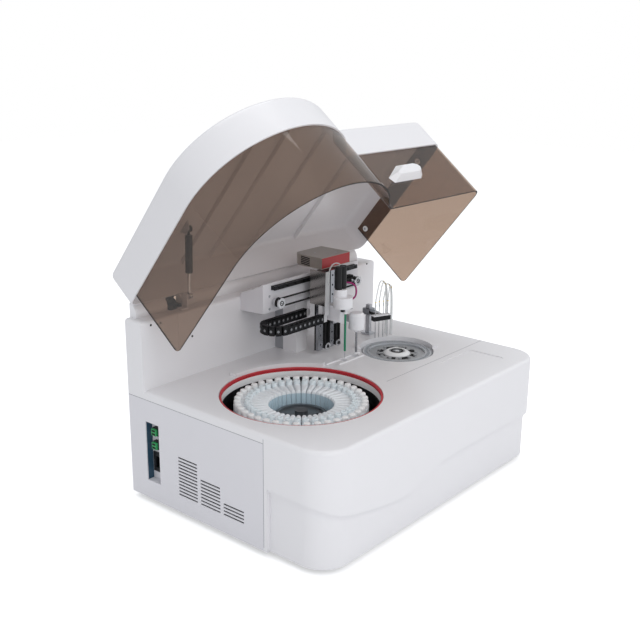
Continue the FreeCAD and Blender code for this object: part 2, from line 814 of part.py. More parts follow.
def motor_cover():
    # Folded box over the motors, with a stack of slanted vents in its left end.
    x0, x1 = cover_left, cover_right
    outline = [(x0, cover_front), (x1, cover_front), (x1, cover_back), (x0 + 12, cover_back), (x0, cover_back - 14)]
    t = cover_sheet
    inner = [(x0 + t, cover_front + t), (x1 - t, cover_front + t), (x1 - t, cover_back - t),
             (x0 + 12.6, cover_back - t), (x0 + t, cover_back - 14.6)]
    body = prism(outline, carriage_high, cover_high)
    body = body.cut(prism(inner, carriage_high + t, cover_high - t))
    slots = []
    for i in range(5):
        y = cover_back - 46
        z = carriage_high + 3.5 + i * 3.6
        slots.append(prism_x([(y, z - 1), (y + 24, z + 1), (y + 24, z + 2.8), (y, z + 0.8)], x0 - 1, x0 + t + 1))
    return body.cut(Part.makeCompound(slots))


def slide_frame():
    # Upright plate with its spacer, the pins of the lower wheels and the fixed upper wheels.
    plate = box(frame_left, frame_right, frame_front, frame_back, frame_low, carriage_high)
    spacer = box(frame_left + 6, frame_right - 6, frame_back, carriage_back - 3, carriage_low, carriage_high)
    y0 = slide_belt_front
    pins = [bar_y(x, slide_pulley_z, y0 - 2, frame_front, 2.0) for x in slide_belt_x]
    wheels = [bar_y(x, slide_upper_z, y0 - 2, frame_front, slide_belt_radius - belt_thickness - seat_gap)
              for x in slide_belt_x]
    return join(plate, spacer, *pins, *wheels)


def slide_rails():
    shapes = []
    for x0, x1 in ((probe_rail_left, probe_rail_right), (mixer_rail_left, mixer_rail_right)):
        body = box(x0, x1, frame_front - rail_depth, frame_front, frame_low, carriage_high)
        x = (x0 + x1) / 2
        bores = [bar_y(x, frame_low + 12 + i * 20, frame_front - rail_depth - 1, frame_front - rail_depth + 3, 2.2)
                 for i in range(8)]
        shapes.append(body.cut(Part.makeCompound(bores)))
    return group(shapes)


def slide_pulley(x):
    y0 = slide_belt_front
    z = slide_pulley_z
    hub = bar_y(x, z, y0 - 2, y0 + slide_belt_width + 0.5, slide_belt_radius - belt_thickness - seat_gap)
    near = bar_y(x, z, y0 - 2, y0 - 0.5, slide_flange_radius)
    far = bar_y(x, z, y0 + slide_belt_width + 0.5, y0 + slide_belt_width + 2, slide_flange_radius)
    return join(hub, near, far).cut(bar_y(x, z, y0 - 5, frame_front, 2.0 + running_gap))


def slide_belts():
    shapes = []
    for x in slide_belt_x:
        loops = []
        for r, grow in ((slide_belt_radius, 0.0), (slide_belt_radius - belt_thickness, 1.0)):
            y0 = slide_belt_front - grow
            y1 = slide_belt_front + slide_belt_width + grow
            middle = box(x - r, x + r, y0, y1, slide_pulley_z, slide_upper_z)
            loops.append(join(middle, *[bar_y(x, z, y0, y1, r) for z in (slide_pulley_z, slide_upper_z)]))
        shapes.append(loops[0].cut(loops[1]))
    return group(shapes)


def probe_carrier():
    # Slider on the probe rail, belt clip and the white arm forward to the head.
    slider = box(probe_rail_left, probe_rail_right + 2, slider_front, slider_back, 300, 340)
    belt_x = slide_belt_x[0] - slide_belt_radius
    clip = box(probe_rail_right, belt_x - 0.6, slider_front + 2, slider_back, 320, 334)
    arm = box(probe_x - 2, probe_x + 14, line_y + 13, slider_front + 2, 300, probe_head_low - 1)
    seat = box(probe_x - 12, probe_x + 14, line_y + 2, line_y + 22, probe_head_low - 9, probe_head_low)
    return join(slider, clip, arm, seat).cut(disc(probe_x, line_y, 290, probe_head_low + 1, 4.2))


def probe_head():
    # Stepped white drum over the needle.
    low = disc(probe_x, head_y, probe_head_low, probe_head_step, probe_head_radius)
    high = disc(probe_x, cell_y, probe_head_step, probe_head_high, probe_head_radius - 6.5)
    spigot = disc(probe_x, line_y, sleeve_high, probe_head_low, 4.2)
    return join(low, high, spigot)


def probe_cells():
    return group([disc(probe_x + dx, cell_y, probe_head_high, probe_cell_high, 7.0) for dx in (-7.1, 7.1)])


def needle():
    shaft = disc(probe_x, line_y, needle_tip + 3, sleeve_high, needle_radius)
    point = Part.makeCone(0.3, needle_radius, 3, V(probe_x, line_y, needle_tip))
    return join(shaft, point)


def needle_sleeve():
    return ring(probe_x, line_y, sleeve_low, sleeve_high, needle_radius, sleeve_radius)


def bent_tube(points, bend_radii, r):
    # Straight runs joined by tangent arcs.
    edges = []
    previous = points[0]
    for i in range(1, len(points) - 1):
        p, before, after = points[i], points[i - 1], points[i + 1]
        a = (before - p).normalize()
        b = (after - p).normalize()
        half = a.getAngle(b) / 2
        reach = bend_radii[i - 1] / math.tan(half)
        start = p + a * reach
        end = p + b * reach
        middle = p + (a + b).normalize() * (bend_radii[i - 1] / math.sin(half) - bend_radii[i - 1])
        edges.append(Part.LineSegment(previous, start).toShape())
        edges.append(Part.Arc(start, middle, end).toShape())
        previous = end
    edges.append(Part.LineSegment(previous, points[-1]).toShape())
    path = Part.Wire(edges)
    direction = points[1] - points[0]
    profile = Part.Wire([Part.makeCircle(r, points[0], direction)])
    return path.makePipeShell([profile], True, True)


def mixer_carrier():
    # Slider on the mixer rail, belt clip and the arm that grips the stirring motor.
    slider = box(mixer_rail_left, mixer_rail_right, slider_front, slider_back, 285, 320)
    belt_x = slide_belt_x[1] - slide_belt_radius
    clip = box(mixer_rail_right, belt_x - 0.6, slider_front + 2, slider_back, 300, 314)
    arm = box(mixer_x - 6, mixer_x + 5, line_y, slider_front + 2, 294, 306)
    return join(slider, clip, arm).cut(disc(mixer_x, line_y, 284, 312, mixer_radius))


def mixer_head():
    low = disc(mixer_x, line_y, mixer_low, mixer_high - 5, mixer_radius)
    cap = Part.makeCone(mixer_radius, mixer_radius - 4, 5, V(mixer_x, line_y, mixer_high - 5))
    nose = Part.makeCone(5, mixer_radius - 5, 7, V(mixer_x, line_y, mixer_low - 7))
    return join(low, cap, nose)


def mixer_rod():
    rod = disc(mixer_x, line_y, mixer_tip, mixer_low - 7, mixer_rod_radius)
    paddle = box(mixer_x - 3, mixer_x + 3, line_y - 0.6, line_y + 0.6, mixer_tip, mixer_tip + 10)
    return join(rod, paddle)


def wash_angles():
    return [cuvette_start + (wash_first_cuvette + i * wash_needle_step) * cuvette_pitch for i in range(wash_needle_count)]


def wash_post():
    post = box(wash_post_x - 4, wash_post_x + 4, wash_post_y - 5, wash_post_y + 5, deck_top, wash_post_top)
    foot = box(wash_post_x - 11, wash_post_x + 11, wash_post_y - 12, wash_post_y + 12, deck_top, deck_top + 3)
    return join(post, foot)


def wash_head():
    angles = wash_angles()
    middle = (angles[0] + angles[-1]) / 2
    cx, cy = polar(reaction_x, reaction_y, reaction_ring, middle)
    bar = Part.makeBox(12, 42, wash_bar_high - wash_bar_low, V(cx - 6, cy - 21, wash_bar_low))
    bar = turned(bar, cx, cy, middle)
    g = seat_gap
    collar = box(wash_post_x - 9, wash_post_x + 9, wash_post_y - 10, wash_post_y + 10, wash_bar_low - 4, wash_bar_high)
    collar = collar.cut(box(wash_post_x - 4 - g, wash_post_x + 4 + g, wash_post_y - 5 - g, wash_post_y + 5 + g,
                            wash_bar_low - 5, wash_bar_high + 1))
    arm = prism([(cx + 2, cy + 2), (cx + 16, cy - 4), (wash_post_x + 9, wash_post_y - 8), (wash_post_x - 9, wash_post_y - 8)],
                wash_bar_low, wash_bar_low + 6)
    body = join(bar, collar, arm)
    holes = [disc(*polar(reaction_x, reaction_y, reaction_ring, a), wash_bar_low - 1, wash_bar_high + 1, wash_needle_radius)
             for a in angles]
    return body.cut(Part.makeCompound(holes))


def wash_needles():
    return group([disc(*polar(reaction_x, reaction_y, reaction_ring, a), wash_needle_low, wash_needle_high, wash_needle_radius)
                  for a in wash_angles()])


def wash_tubes():
    # Clear hoses from the needle tops, over and down into the deck.
    tubes = []
    for i, a in enumerate(wash_angles()):
        x, y = polar(reaction_x, reaction_y, reaction_ring, a)
        ex = reaction_x + 74.0 + 5.0 * (i % 2)
        ey = 40.0 + 7.0 * i
        top = 334.0 + 3.0 * i
        points = [V(x, y, wash_needle_high), V(x, y, top), V((x + ex) / 2, (y + ey) / 2, top + 12), V(ex, ey, top - 14),
                  V(ex, ey, deck_top)]
        tubes.append(bent_tube(points, [10, 10, 12], 1.5))
    return group(tubes)


def lid_outline(inset, back):
    # Plan of the closed lid: a broad bow over the reagent rotor, stepping back on the right.
    # Each arc keeps its centre, so any inset stays parallel.
    x0 = lid_left + inset
    x1 = lid_right - inset
    r_side = bow_side - inset
    side_l = V(bow_x - bow_side_shift, bow_y, 0)
    side_r = V(bow_x + bow_side_shift, bow_y, 0)
    # The front arc touches both side arcs: its centre and radius follow from the bow's reach.
    reach = bow_y - bow_front_y
    shift = bow_side_shift
    spare = reach - bow_side
    drop = (shift ** 2 - spare ** 2) / (2 * spare)
    front_c = V(bow_x, bow_y + drop, 0)
    r_front = reach + drop - inset
    pull = math.hypot(shift, drop)
    ux, uy = shift / pull, -drop / pull
    join_r = V(front_c.x + ux * r_front, front_c.y + uy * r_front, 0)
    join_l = V(front_c.x - ux * r_front, front_c.y + uy * r_front, 0)
    fillet_r = notch_fillet + inset
    fy = notch_front - notch_fillet
    fx = side_r.x + math.sqrt((bow_side + notch_fillet) ** 2 - (side_r.y - fy) ** 2)
    fillet_c = V(fx, fy, 0)
    to = (fillet_c - side_r).normalize()
    touch = side_r + to * r_side
    land = V(fx, notch_front + inset, 0)
    corner_r = lid_corner - inset
    back_r = lid_crown + 4 - inset
    c = math.sqrt(0.5)

    def on(centre, r, ax, ay):
        d = V(ax, ay, 0).normalize()
        return centre + d * r

    start_l = V(x0, bow_y, 0)
    corner_c = V(x1 - corner_r, notch_front + inset + corner_r, 0)
    bl = V(x0 + back_r, back - inset - back_r, 0)
    br = V(x1 - back_r, back - inset - back_r, 0)
    mid_touch = on(side_r, r_side, (join_r - side_r).x + (touch - side_r).x, (join_r - side_r).y + (touch - side_r).y)
    mid_fillet = on(fillet_c, fillet_r, (touch - fillet_c).x + 0, (touch - fillet_c).y + fillet_r)
    edges = [
        Part.LineSegment(V(x0, back - inset - back_r, 0), start_l),
        Part.Arc(start_l, on(side_l, r_side, -1 - ux, uy), join_l),
        Part.Arc(join_l, on(front_c, r_front, 0, -1), join_r),
        Part.Arc(join_r, mid_touch, touch),
        Part.Arc(touch, mid_fillet, land),
        Part.LineSegment(land, V(x1 - corner_r, notch_front + inset, 0)),
        Part.Arc(V(x1 - corner_r, notch_front + inset, 0), corner_c + V(c, -c, 0) * corner_r,
                 V(x1, notch_front + inset + corner_r, 0)),
        Part.LineSegment(V(x1, notch_front + inset + corner_r, 0), V(x1, br.y, 0)),
        Part.Arc(V(x1, br.y, 0), br + V(c, c, 0) * back_r, V(br.x, back - inset, 0)),
        Part.LineSegment(V(br.x, back - inset, 0), V(bl.x, back - inset, 0)),
        Part.Arc(V(bl.x, back - inset, 0), bl + V(-c, c, 0) * back_r, V(x0, bl.y, 0)),
    ]
    return Part.Face(Part.Wire([e.toShape() for e in edges]))


def lid_block(inset, back, z0, z1):
    face = lid_outline(inset, back)
    face.translate(V(0, 0, z0))
    return face.extrude(V(0, 0, z1 - z0))


def crowned(inset, back, z0, z1, r):
    body = lid_block(inset, back, z0, z1)
    return body.makeFillet(r, [e for e in body.Edges if e.BoundBox.ZMin > z1 - 0.1])


def opened(shape):
    copy = shape.copy()
    copy.rotate(V(0, hinge_y, hinge_z), V(1, 0, 0), -lid_open)
    return copy


def lid_shell():
    outer = crowned(0, lid_back, lid_split, lid_top, lid_crown)
    inner = crowned(lid_wall, lid_back, lid_split - 1, lid_top - lid_wall, lid_crown - lid_wall)
    body = outer.cut(inner)
    under = lid_top - lid_wall
    ribs = [box(x - 1.5, x + 1.5, bow_front_y, lid_back - lid_wall, under - rib_height, under + 1) for x in rib_places]
    keep = crowned(lid_wall - 0.5, lid_back, under - 20, lid_top - lid_wall + 0.5, lid_crown - lid_wall)
    ribs = [rib.common(keep) for rib in ribs]
    return opened(join(body, *ribs))


def lid_visor():
    g = lid_wall + visor_gap
    high = lid_split + visor_overlap
    body = lid_block(g, visor_back + 60, visor_low, high)
    body = body.cut(lid_block(g + visor_sheet, visor_back + 60, visor_low - 1, high + 1))
    body = body.cut(box(-400, 400, visor_back, visor_back + 100, visor_low - 1, high + 1))
    corner = 10.0
    for x0 in (lid_left - 1, lid_right - 20):
        edge = box(x0, x0 + 21, visor_back - corner, visor_back + 1, visor_low - 1, visor_low + corner)
        edge = edge.cut(bar_x(visor_back - corner, visor_low + corner, x0 - 1, x0 + 22, corner))
        body = body.cut(edge)
    return opened(body)


def lid_handle():
    # Low faceted grip on the right front of the visor, lifted by its lower face.
    y0 = notch_front + lid_wall + visor_gap
    x0, x1, z0, z1 = handle_left, handle_right, handle_low, handle_high
    foot = [(x0, z0 + 14), (x0 + 6, z0), (x1 - 16, z0), (x1 - 3, z0 + 9), (x1, z0 + 20), (x1 - 6, z1 - 8),
            (x1 - 18, z1), (x0 + 50, z1)]
    tip = [(x0 + 18, z0 + 14), (x0 + 22, z0 + 8), (x1 - 26, z0 + 8), (x1 - 16, z0 + 13), (x1 - 13, z0 + 19),
           (x1 - 17, z1 - 15), (x1 - 27, z1 - 11), (x0 + 54, z1 - 11)]
    wires = []
    for y, outline in ((y0, foot), (y0 - handle_depth, tip)):
        wires.append(Part.makePolygon([V(x, y, z) for x, z in outline + outline[:1]]))
    return opened(Part.makeLoft(wires, True, True))


def lid_hinges():
    # Leaf on the lid's back wall with a knuckle on the pin.
    shapes = []
    for x in (-hinge_x, hinge_x):
        knuckle = bar_x(hinge_y, hinge_z, x - 7.7, x + 7.7, hinge_radius)
        arm = box(x - 7.7, x + 7.7, lid_back, hinge_y, hinge_z + 0.5, hinge_z + 6)
        leaf = box(x - 14, x + 14, lid_back, lid_back + 3, hinge_z + 0.5, hinge_z + 34)
        body = join(knuckle, arm, leaf).cut(bar_x(hinge_y, hinge_z, x - 9, x + 9, pin_radius + running_gap))
        shapes.append(body)
    return opened(group(shapes))


def hinge_bases():
    shapes = []
    for x in (-hinge_x, hinge_x):
        foot = box(x - 14, x + 14, 199, 211, column_top, column_top + 3)
        ears = []
        for x0 in (x - 14, x + 8):
            ears.append(box(x0, x0 + 6, 199, hinge_y, column_top, hinge_z))
            ears.append(bar_x(hinge_y, hinge_z, x0, x0 + 6, hinge_radius))
        pin = bar_x(hinge_y, hinge_z, x - 14, x + 14, pin_radius)
        shapes.append(join(foot, pin, *ears))
    return group(shapes)


def strut_stud():
    # Bracket on the column with the stud that the rod's socket sits against.
    x = strut_x - eye_width / 2 - 0.3
    plate = box(x - 8, x - 5, strut_base_y - 7, strut_base_y + 7, column_top, strut_base_z + 7)
    foot = box(x - 22, x - 5, strut_base_y - 7, strut_base_y + 7, column_top, column_top + 3)
    stud = bar_x(strut_base_y, strut_base_z, x - 5, x, 3)
    return join(plate, foot, stud)


def strut_bracket():
    x = strut_x - eye_width / 2 - 0.3
    under = lid_top - lid_wall
    plate = prism_x([(strut_lid_y - 16, under), (strut_lid_y + 16, under), (strut_lid_y + 6, strut_lid_z - 5),
                     (strut_lid_y - 6, strut_lid_z - 5)], x - 3, x)
    pin = bar_x(strut_lid_y, strut_lid_z, x, strut_x + eye_width / 2 + 1, 2.5)
    return opened(join(plate, pin))


def strut_points():
    top = V(strut_x, strut_lid_y, strut_lid_z)
    turn = FreeCAD.Rotation(V(1, 0, 0), -lid_open)
    pivot = V(strut_x, hinge_y, hinge_z)
    top = pivot + turn.multVec(top - pivot)
    bottom = V(strut_x, strut_base_y, strut_base_z)
    return top, bottom


def gas_cylinder():
    top, bottom = strut_points()
    along = (bottom - top).normalize()
    eye = bar_x(top.y, top.z, strut_x - eye_width / 2, strut_x + eye_width / 2, eye_radius)
    neck = Part.makeCylinder(2.4, 12, top + along * 4, along)
    body = Part.makeCylinder(strut_radius, strut_body, top + along * 12, along)
    bore = Part.makeCylinder(strut_rod + running_gap, strut_body - 6, top + along * 20, along)
    eye_bore = bar_x(top.y, top.z, strut_x - eye_width, strut_x + eye_width, 2.5 + running_gap)
    return join(eye, neck, body).cut(bore).cut(eye_bore)


def gas_rod():
    top, bottom = strut_points()
    along = (top - bottom).normalize()
    length = (top - bottom).Length
    eye = bar_x(bottom.y, bottom.z, strut_x - eye_width / 2, strut_x + eye_width / 2, eye_radius)
    rod = Part.makeCylinder(strut_rod, length - 12 - strut_body + 35, bottom + along * 5, along)
    return join(eye, rod)


def main():
    os.makedirs("parts", exist_ok=True)
    pieces = {
        "base_pan": base_pan(),
        "feet": feet(),
        "side_panel_left": side_panel(-1),
        "side_panel_right": side_panel(1),
        "front_cover": front_cover(),
        "upper_housing": upper_housing(),
        "rear_panel": rear_panel(),
        "io_panel": io_panel(),
        "connectors": group([power_inlet()] + data_ports().Solids),
        "reagent_pit": reagent_pit(),
        "pit_gasket": pit_gasket(),
        "reagent_rotor": reagent_rotor(),
        "reagent_bottles": reagent_bottles(),
        "rotor_motors": rotor_motors(),
        "reaction_bath": group([reaction_bath(), photometer()]),
        "reaction_disc": reaction_disc(),
        "cuvettes": cuvettes(),
        "rinse_wells": rinse_wells(),
        "electronics": group([power_supply(), main_board()]),
        "syringe_pumps": syringe_pumps(),
        "gantry_post": gantry_post(),
        "gantry_plate": gantry_plate(),
        "post_spacer": post_spacer(),
        "x_rail": x_rail(),
        "x_motor": x_motor(),
        "x_drive_pulley": x_drive_pulley(),
        "x_idler_pulley": x_idler_pulley(),
        "x_belt": x_belt(),
        "cable_chain": cable_chain(),
        "carriage_frame": carriage_frame(),
        "x_slider": x_slider(),
        "motor_cover": motor_cover(),
        "slide_frame": slide_frame(),
        "slide_rails": slide_rails(),
        "probe_pulley": slide_pulley(slide_belt_x[0]),
        "mixer_pulley": slide_pulley(slide_belt_x[1]),
        "slide_belts": slide_belts(),
        "probe_carrier": probe_carrier(),
        "probe_head": probe_head(),
        "probe_cells": probe_cells(),
        "needle": needle(),
        "needle_sleeve": needle_sleeve(),
        "mixer_carrier": mixer_carrier(),
        "mixer_head": mixer_head(),
        "mixer_rod": mixer_rod(),
        "wash_post": wash_post(),
        "wash_head": wash_head(),
        "wash_needles": wash_needles(),
        "wash_tubes": wash_tubes(),
        "lid_shell": lid_shell(),
        "lid_visor": lid_visor(),
        "lid_handle": lid_handle(),
        "lid_hinges": lid_hinges(),
        "hinge_bases": group(hinge_bases().Solids + [strut_stud()]),
        "strut_bracket": strut_bracket(),
        "gas_cylinder": gas_cylinder(),
        "gas_rod": gas_rod(),
    }
    for name, shape in pieces.items():
        save(name, shape)
        print(name, len(shape.Solids), "solids", "ok" if shape.isValid() else "INVALID")


main()
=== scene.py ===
import bmesh
import bpy
import json
import math
import numpy as np
from mathutils import Matrix, Vector


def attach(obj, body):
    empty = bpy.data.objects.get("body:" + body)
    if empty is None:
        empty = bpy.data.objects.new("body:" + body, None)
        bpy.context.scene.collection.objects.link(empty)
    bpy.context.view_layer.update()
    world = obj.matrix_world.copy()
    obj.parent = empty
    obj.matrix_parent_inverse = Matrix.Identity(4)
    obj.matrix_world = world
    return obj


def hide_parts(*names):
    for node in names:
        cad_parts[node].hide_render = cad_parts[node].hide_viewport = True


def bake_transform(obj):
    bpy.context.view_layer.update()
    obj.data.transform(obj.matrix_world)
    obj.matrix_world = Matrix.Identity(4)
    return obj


# Looks of a benchtop chemistry analyser: its smoked visor stands open over the bottles and the reaction disc.
# Sizes are millimetres in the frame of the CAD, and build() turns them to metres. Blends, weld distances,
# bump depth, lamps, floor and camera are in metres.
mm = 0.001
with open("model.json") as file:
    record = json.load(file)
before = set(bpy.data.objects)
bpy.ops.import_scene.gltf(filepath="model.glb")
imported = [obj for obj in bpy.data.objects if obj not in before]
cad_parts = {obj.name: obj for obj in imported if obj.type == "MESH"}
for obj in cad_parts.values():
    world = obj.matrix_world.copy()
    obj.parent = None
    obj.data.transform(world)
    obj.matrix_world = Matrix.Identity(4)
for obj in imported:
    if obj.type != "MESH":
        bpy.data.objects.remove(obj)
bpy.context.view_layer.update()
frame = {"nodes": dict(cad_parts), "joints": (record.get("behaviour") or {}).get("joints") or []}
nodes = frame["nodes"]
joints = {joint["name"]: joint for joint in frame["joints"]}
print("frame loaded:", len(nodes), "nodes")


def pivot(name):
    # the place of a joint's axis, in millimetres
    return [round(v / mm, 4) for v in joints[name]["pos_m"]]


rotorCentre = pivot("reagent_spin")[:2]
discCentre = pivot("reaction_spin")[:2]
hinge = {"y": pivot("lid_hinge")[1], "z": pivot("lid_hinge")[2],
         "open": max(joints["lid_hinge"]["range_deg"])}


# Materials

def linear(hexColour):
    # sRGB hex to linear light: c / 12.92 near black, else (c + 0.055) / 1.055 to the power 2.4
    parts = [int(hexColour[i:i + 2], 16) / 255 for i in (0, 2, 4)]
    return [p / 12.92 if p <= 0.04045 else ((p + 0.055) / 1.055) ** 2.4 for p in parts] + [1.0]


def addNode(tree, kind, settings=None, links=None):
    # links is {socket: (other node, its output)}; settings go to inputs first, else to the node itself
    node = tree.nodes.new(kind)
    for key, value in (settings or {}).items():
        if isinstance(key, int) or key in node.inputs:
            node.inputs[key].default_value = value
        else:
            setattr(node, key, value)
    for key, (other, output) in (links or {}).items():
        tree.links.new(other.outputs[output], node.inputs[key])
    return node


def newTree(name):
    # an empty material and its node tree
    material = bpy.data.materials.new(name)
    material.use_nodes = True
    material.node_tree.nodes.clear()
    return material, material.node_tree


surface = {"driftPerMetre": 9.0, "detail": 2.0, "bumpDepth": 0.0002}


def finishMaterial(name, colour, rough=0.4, metal=0.0, grain=0.0, grainMm=1.0, tint=0.04, coat=0.0,
                   stretch=(1, 1, 1), **more):
    # one shader, a faint tint that drifts over the piece, and a surface grain in real millimetres
    material, tree = newTree(name)
    place = addNode(tree, "ShaderNodeTexCoord")
    drift = addNode(tree, "ShaderNodeTexNoise",
                    {"Scale": surface["driftPerMetre"], "Detail": surface["detail"]},
                    {"Vector": (place, "Object")})
    full = linear(colour)
    shaded = [c * (1 - tint) for c in full[:3]] + [1.0]
    mix = addNode(tree, "ShaderNodeMix", {"data_type": "RGBA", 6: shaded, 7: full}, {0: (drift, "Fac")})
    settings = {"Roughness": rough, "Metallic": metal, "Coat Weight": coat}
    settings.update({socket.replace("_", " "): value for socket, value in more.items()})
    shader = addNode(tree, "ShaderNodeBsdfPrincipled", settings, {"Base Color": (mix, 2)})
    if grain:
        spread = addNode(tree, "ShaderNodeMapping", {"Scale": stretch}, {"Vector": (place, "Object")})
        noise = addNode(tree, "ShaderNodeTexNoise", {"Scale": 1000.0 / grainMm, "Detail": surface["detail"]},
                        {"Vector": (spread, "Vector")})
        bump = addNode(tree, "ShaderNodeBump", {"Strength": grain, "Distance": surface["bumpDepth"]},
                       {"Height": (noise, "Fac")})
        tree.links.new(bump.outputs["Normal"], shader.inputs["Normal"])
    addNode(tree, "ShaderNodeOutputMaterial", None, {"Surface": (shader, "BSDF")})
    return material


def clearMaterial(name, tintColour, shine=0.06, rough=0.05, rise=4.0, most=0.55):
    # a tinted see-through sheet: light passes straight and takes the tint at each face,
    # and the mirrored share is shine + most * facing to the power rise, so it grows where seen along it
    material, tree = newTree(name)
    through = addNode(tree, "ShaderNodeBsdfTransparent", {"Color": linear(tintColour)})
    gloss = addNode(tree, "ShaderNodeBsdfGlossy", {"Color": (1, 1, 1, 1), "Roughness": rough})
    facing = addNode(tree, "ShaderNodeLayerWeight", {"Blend": 0.5})
    steep = addNode(tree, "ShaderNodeMath", {"operation": "POWER", 1: rise}, {0: (facing, "Facing")})
    share = addNode(tree, "ShaderNodeMath", {"operation": "MULTIPLY_ADD", 1: most, 2: shine},
                    {0: (steep, "Value")})
    mix = addNode(tree, "ShaderNodeMixShader", None,
                  {0: (share, "Value"), 1: (through, "BSDF"), 2: (gloss, "BSDF")})
    addNode(tree, "ShaderNodeOutputMaterial", None, {"Surface": (mix, "Shader")})
    return material


# Grains finer than about 0.3 mm don't show from the camera, so every grain is drawn at 0.35 to 0.8 mm
looks = {
    # moulded ABS: cool white with a soft sheen over a very fine texture
    "coverAbs": finishMaterial("mouldedAbsWhite", "E9E8EB", rough=0.34, grain=0.10, grainMm=0.8, tint=0.02,
                               coat=0.15),
    "armWhite": finishMaterial("mouldedAbsArm", "ECECF0", rough=0.35, tint=0.02),
    # powder-coated sheet steel: a little duller than the covers, with a slight orange peel
    "panelPaint": finishMaterial("powderCoatedSteelWhite", "E0DFE4", rough=0.5, grain=0.35, grainMm=0.7,
                                 tint=0.02),
    "spacerGrey": finishMaterial("paintedSteelGrey", "9FA1A7", rough=0.45),
    "springBlack": finishMaterial("paintedTubeBlack", "141416", rough=0.3, coat=0.3),
    # zinc-plated sheet and screws: grey and cloudy, half a mirror
    "trayPaint": finishMaterial("zincPlatedSteel", "A9ACB0", rough=0.42, metal=0.6, tint=0.1),
    "screwSteel": finishMaterial("zincScrew", "B9BBC0", rough=0.3, metal=1.0),
    # moulded rubber and extruded silicone: broad, weak highlights
    "rubberBlack": finishMaterial("mouldedRubberBlack", "1B1B1D", rough=0.75, grain=0.3, grainMm=0.5),
    "gasketRed": finishMaterial("extrudedSiliconeRed", "C42A36", rough=0.4, tint=0.1),
    # moulded polypropylene: waxy, with a softer highlight than ABS
    "pitPlastic": finishMaterial("mouldedPolypropyleneBlack", "17181B", rough=0.38, tint=0.1),
    "rotorPlastic": finishMaterial("mouldedPolypropyleneGrey", "D5DAE2", rough=0.4),
    "capPlastic": finishMaterial("mouldedPolypropyleneWhite", "F6F7F8", rough=0.36),
    # blown polyethylene: milky, and bluer towards the hub, where the bottles shade each other
    "bottlePlastic": finishMaterial("blownPolyethyleneNatural", "EEF2F6", rough=0.42, tint=0.03),
    "bottleInner": finishMaterial("blownPolyethyleneShaded", "E6EEF2", rough=0.35),
    "bottleBlue": finishMaterial("blownPolyethyleneBlueShade", "BCD2DE", rough=0.4),
    # clear acrylic cuvettes: glassy, with some light passing
    "cuvettePlastic": finishMaterial("clearAcrylicCuvette", "D9DDE3", rough=0.12, Transmission_Weight=0.35),
    # anodised, blasted and turned aluminium: from a satin grey to bright metal
    "plateAluminium": finishMaterial("anodisedAluminium", "C9CBD0", rough=0.36, metal=0.75, grain=0.2,
                                     grainMm=0.6, stretch=(1, 1, 12)),
    "hubSteel": finishMaterial("anodisedHubPlate", "7C8084", rough=0.3, metal=0.8, tint=0.15),
    "discSteel": finishMaterial("blastedAluminiumDisc", "B7B9BC", rough=0.42, metal=0.55, tint=0.12),
    "machinedAluminium": finishMaterial("turnedAluminium", "D4D5D8", rough=0.22, metal=1.0),
    # stainless steel: mirror on the needles, brushed on the motor cover, clouded on the folded carriage
    "polishedSteel": finishMaterial("polishedStainless", "D8D9DC", rough=0.12, metal=1.0, tint=0.03),
    "coverMetal": finishMaterial("brushedStainlessCover", "A39C95", rough=0.34, metal=0.8, grain=0.3,
                                 grainMm=0.35, stretch=(0.05, 1, 1)),
    "carriageSteel": finishMaterial("foldedStainless", "A9A5A1", rough=0.2, metal=1.0, tint=0.12),
    # the carriage's left front flange: the same stainless drawn pale and barely metallic, a painted highlight
    "flangeSteelLit": finishMaterial("brushedFlangePaintedLight", "DDDEE0", rough=0.35, metal=0.25),
    # ground bearing steel and black oxide: dark, sharp highlights on rails, rods and brackets
    "groundSteel": finishMaterial("groundBearingSteel", "9EA0A5", rough=0.25, metal=1.0),
    "blackSteel": finishMaterial("blackOxideSteel", "202124", rough=0.4, metal=0.5),
    # moulded nylon: matt black with a faint grain
    "blackPlastic": finishMaterial("mouldedNylonBlack", "131417", rough=0.5, grain=0.15, grainMm=0.6,
                                   Specular_IOR_Level=0.35),
    "portGreen": finishMaterial("mouldedPolyamideGreen", "2C9E5A", rough=0.45),
    "sleeveGreen": finishMaterial("fluoropolymerSleeveGreen", "16805C", rough=0.4),
    # solder mask, printed film, vinyl tape and cable sheath: even colours with a plain sheen
    "boardGreen": finishMaterial("solderMaskGreen", "2F5A3C", rough=0.4),
    "labelRed": finishMaterial("printedFilmRed", "A51F24", rough=0.4),
    "tapeYellow": finishMaterial("vinylTapeYellow", "D8B638", rough=0.5),
    "cableMagenta": finishMaterial("ribbonCableMagenta", "B0347C", rough=0.5),
    # cast acrylic, smoked: clear brown faces with little mirror; its lower edges and rear end are nearly
    # black, partly the sheet's own dark edge and partly painted shade
    "smokedAcrylic": clearMaterial("castAcrylicSmoked", "CDBFB4", shine=0.045, rough=0.03),
    "sheetEdgeShade": finishMaterial("castAcrylicEdgeShade", "2A2422", rough=0.5, Specular_IOR_Level=0.15),
    # silicone hose: pale and half see-through
    "clearHose": finishMaterial("clearSiliconeHose", "E8EBEC", rough=0.15, Alpha=0.55),
    # painted light and shade, each drawn as a tone and not as a surface: shade in gaps and holes and on
    # shaded sides, shade with a blue reflection on the port recess's side, and light seen through the chain's
    # windows
    "recessShadeBlue": finishMaterial("shadedRecessSide", "2A4B60", rough=0.45),
    "windowPaintedLight": finishMaterial("chainWindowPaintedLight", "8A8C90", rough=0.6),
    "seamShade": finishMaterial("shadowGap", "8B8C94", rough=0.8),
    "holeShade": finishMaterial("paintedRecessShade", "101114", rough=0.9),
}

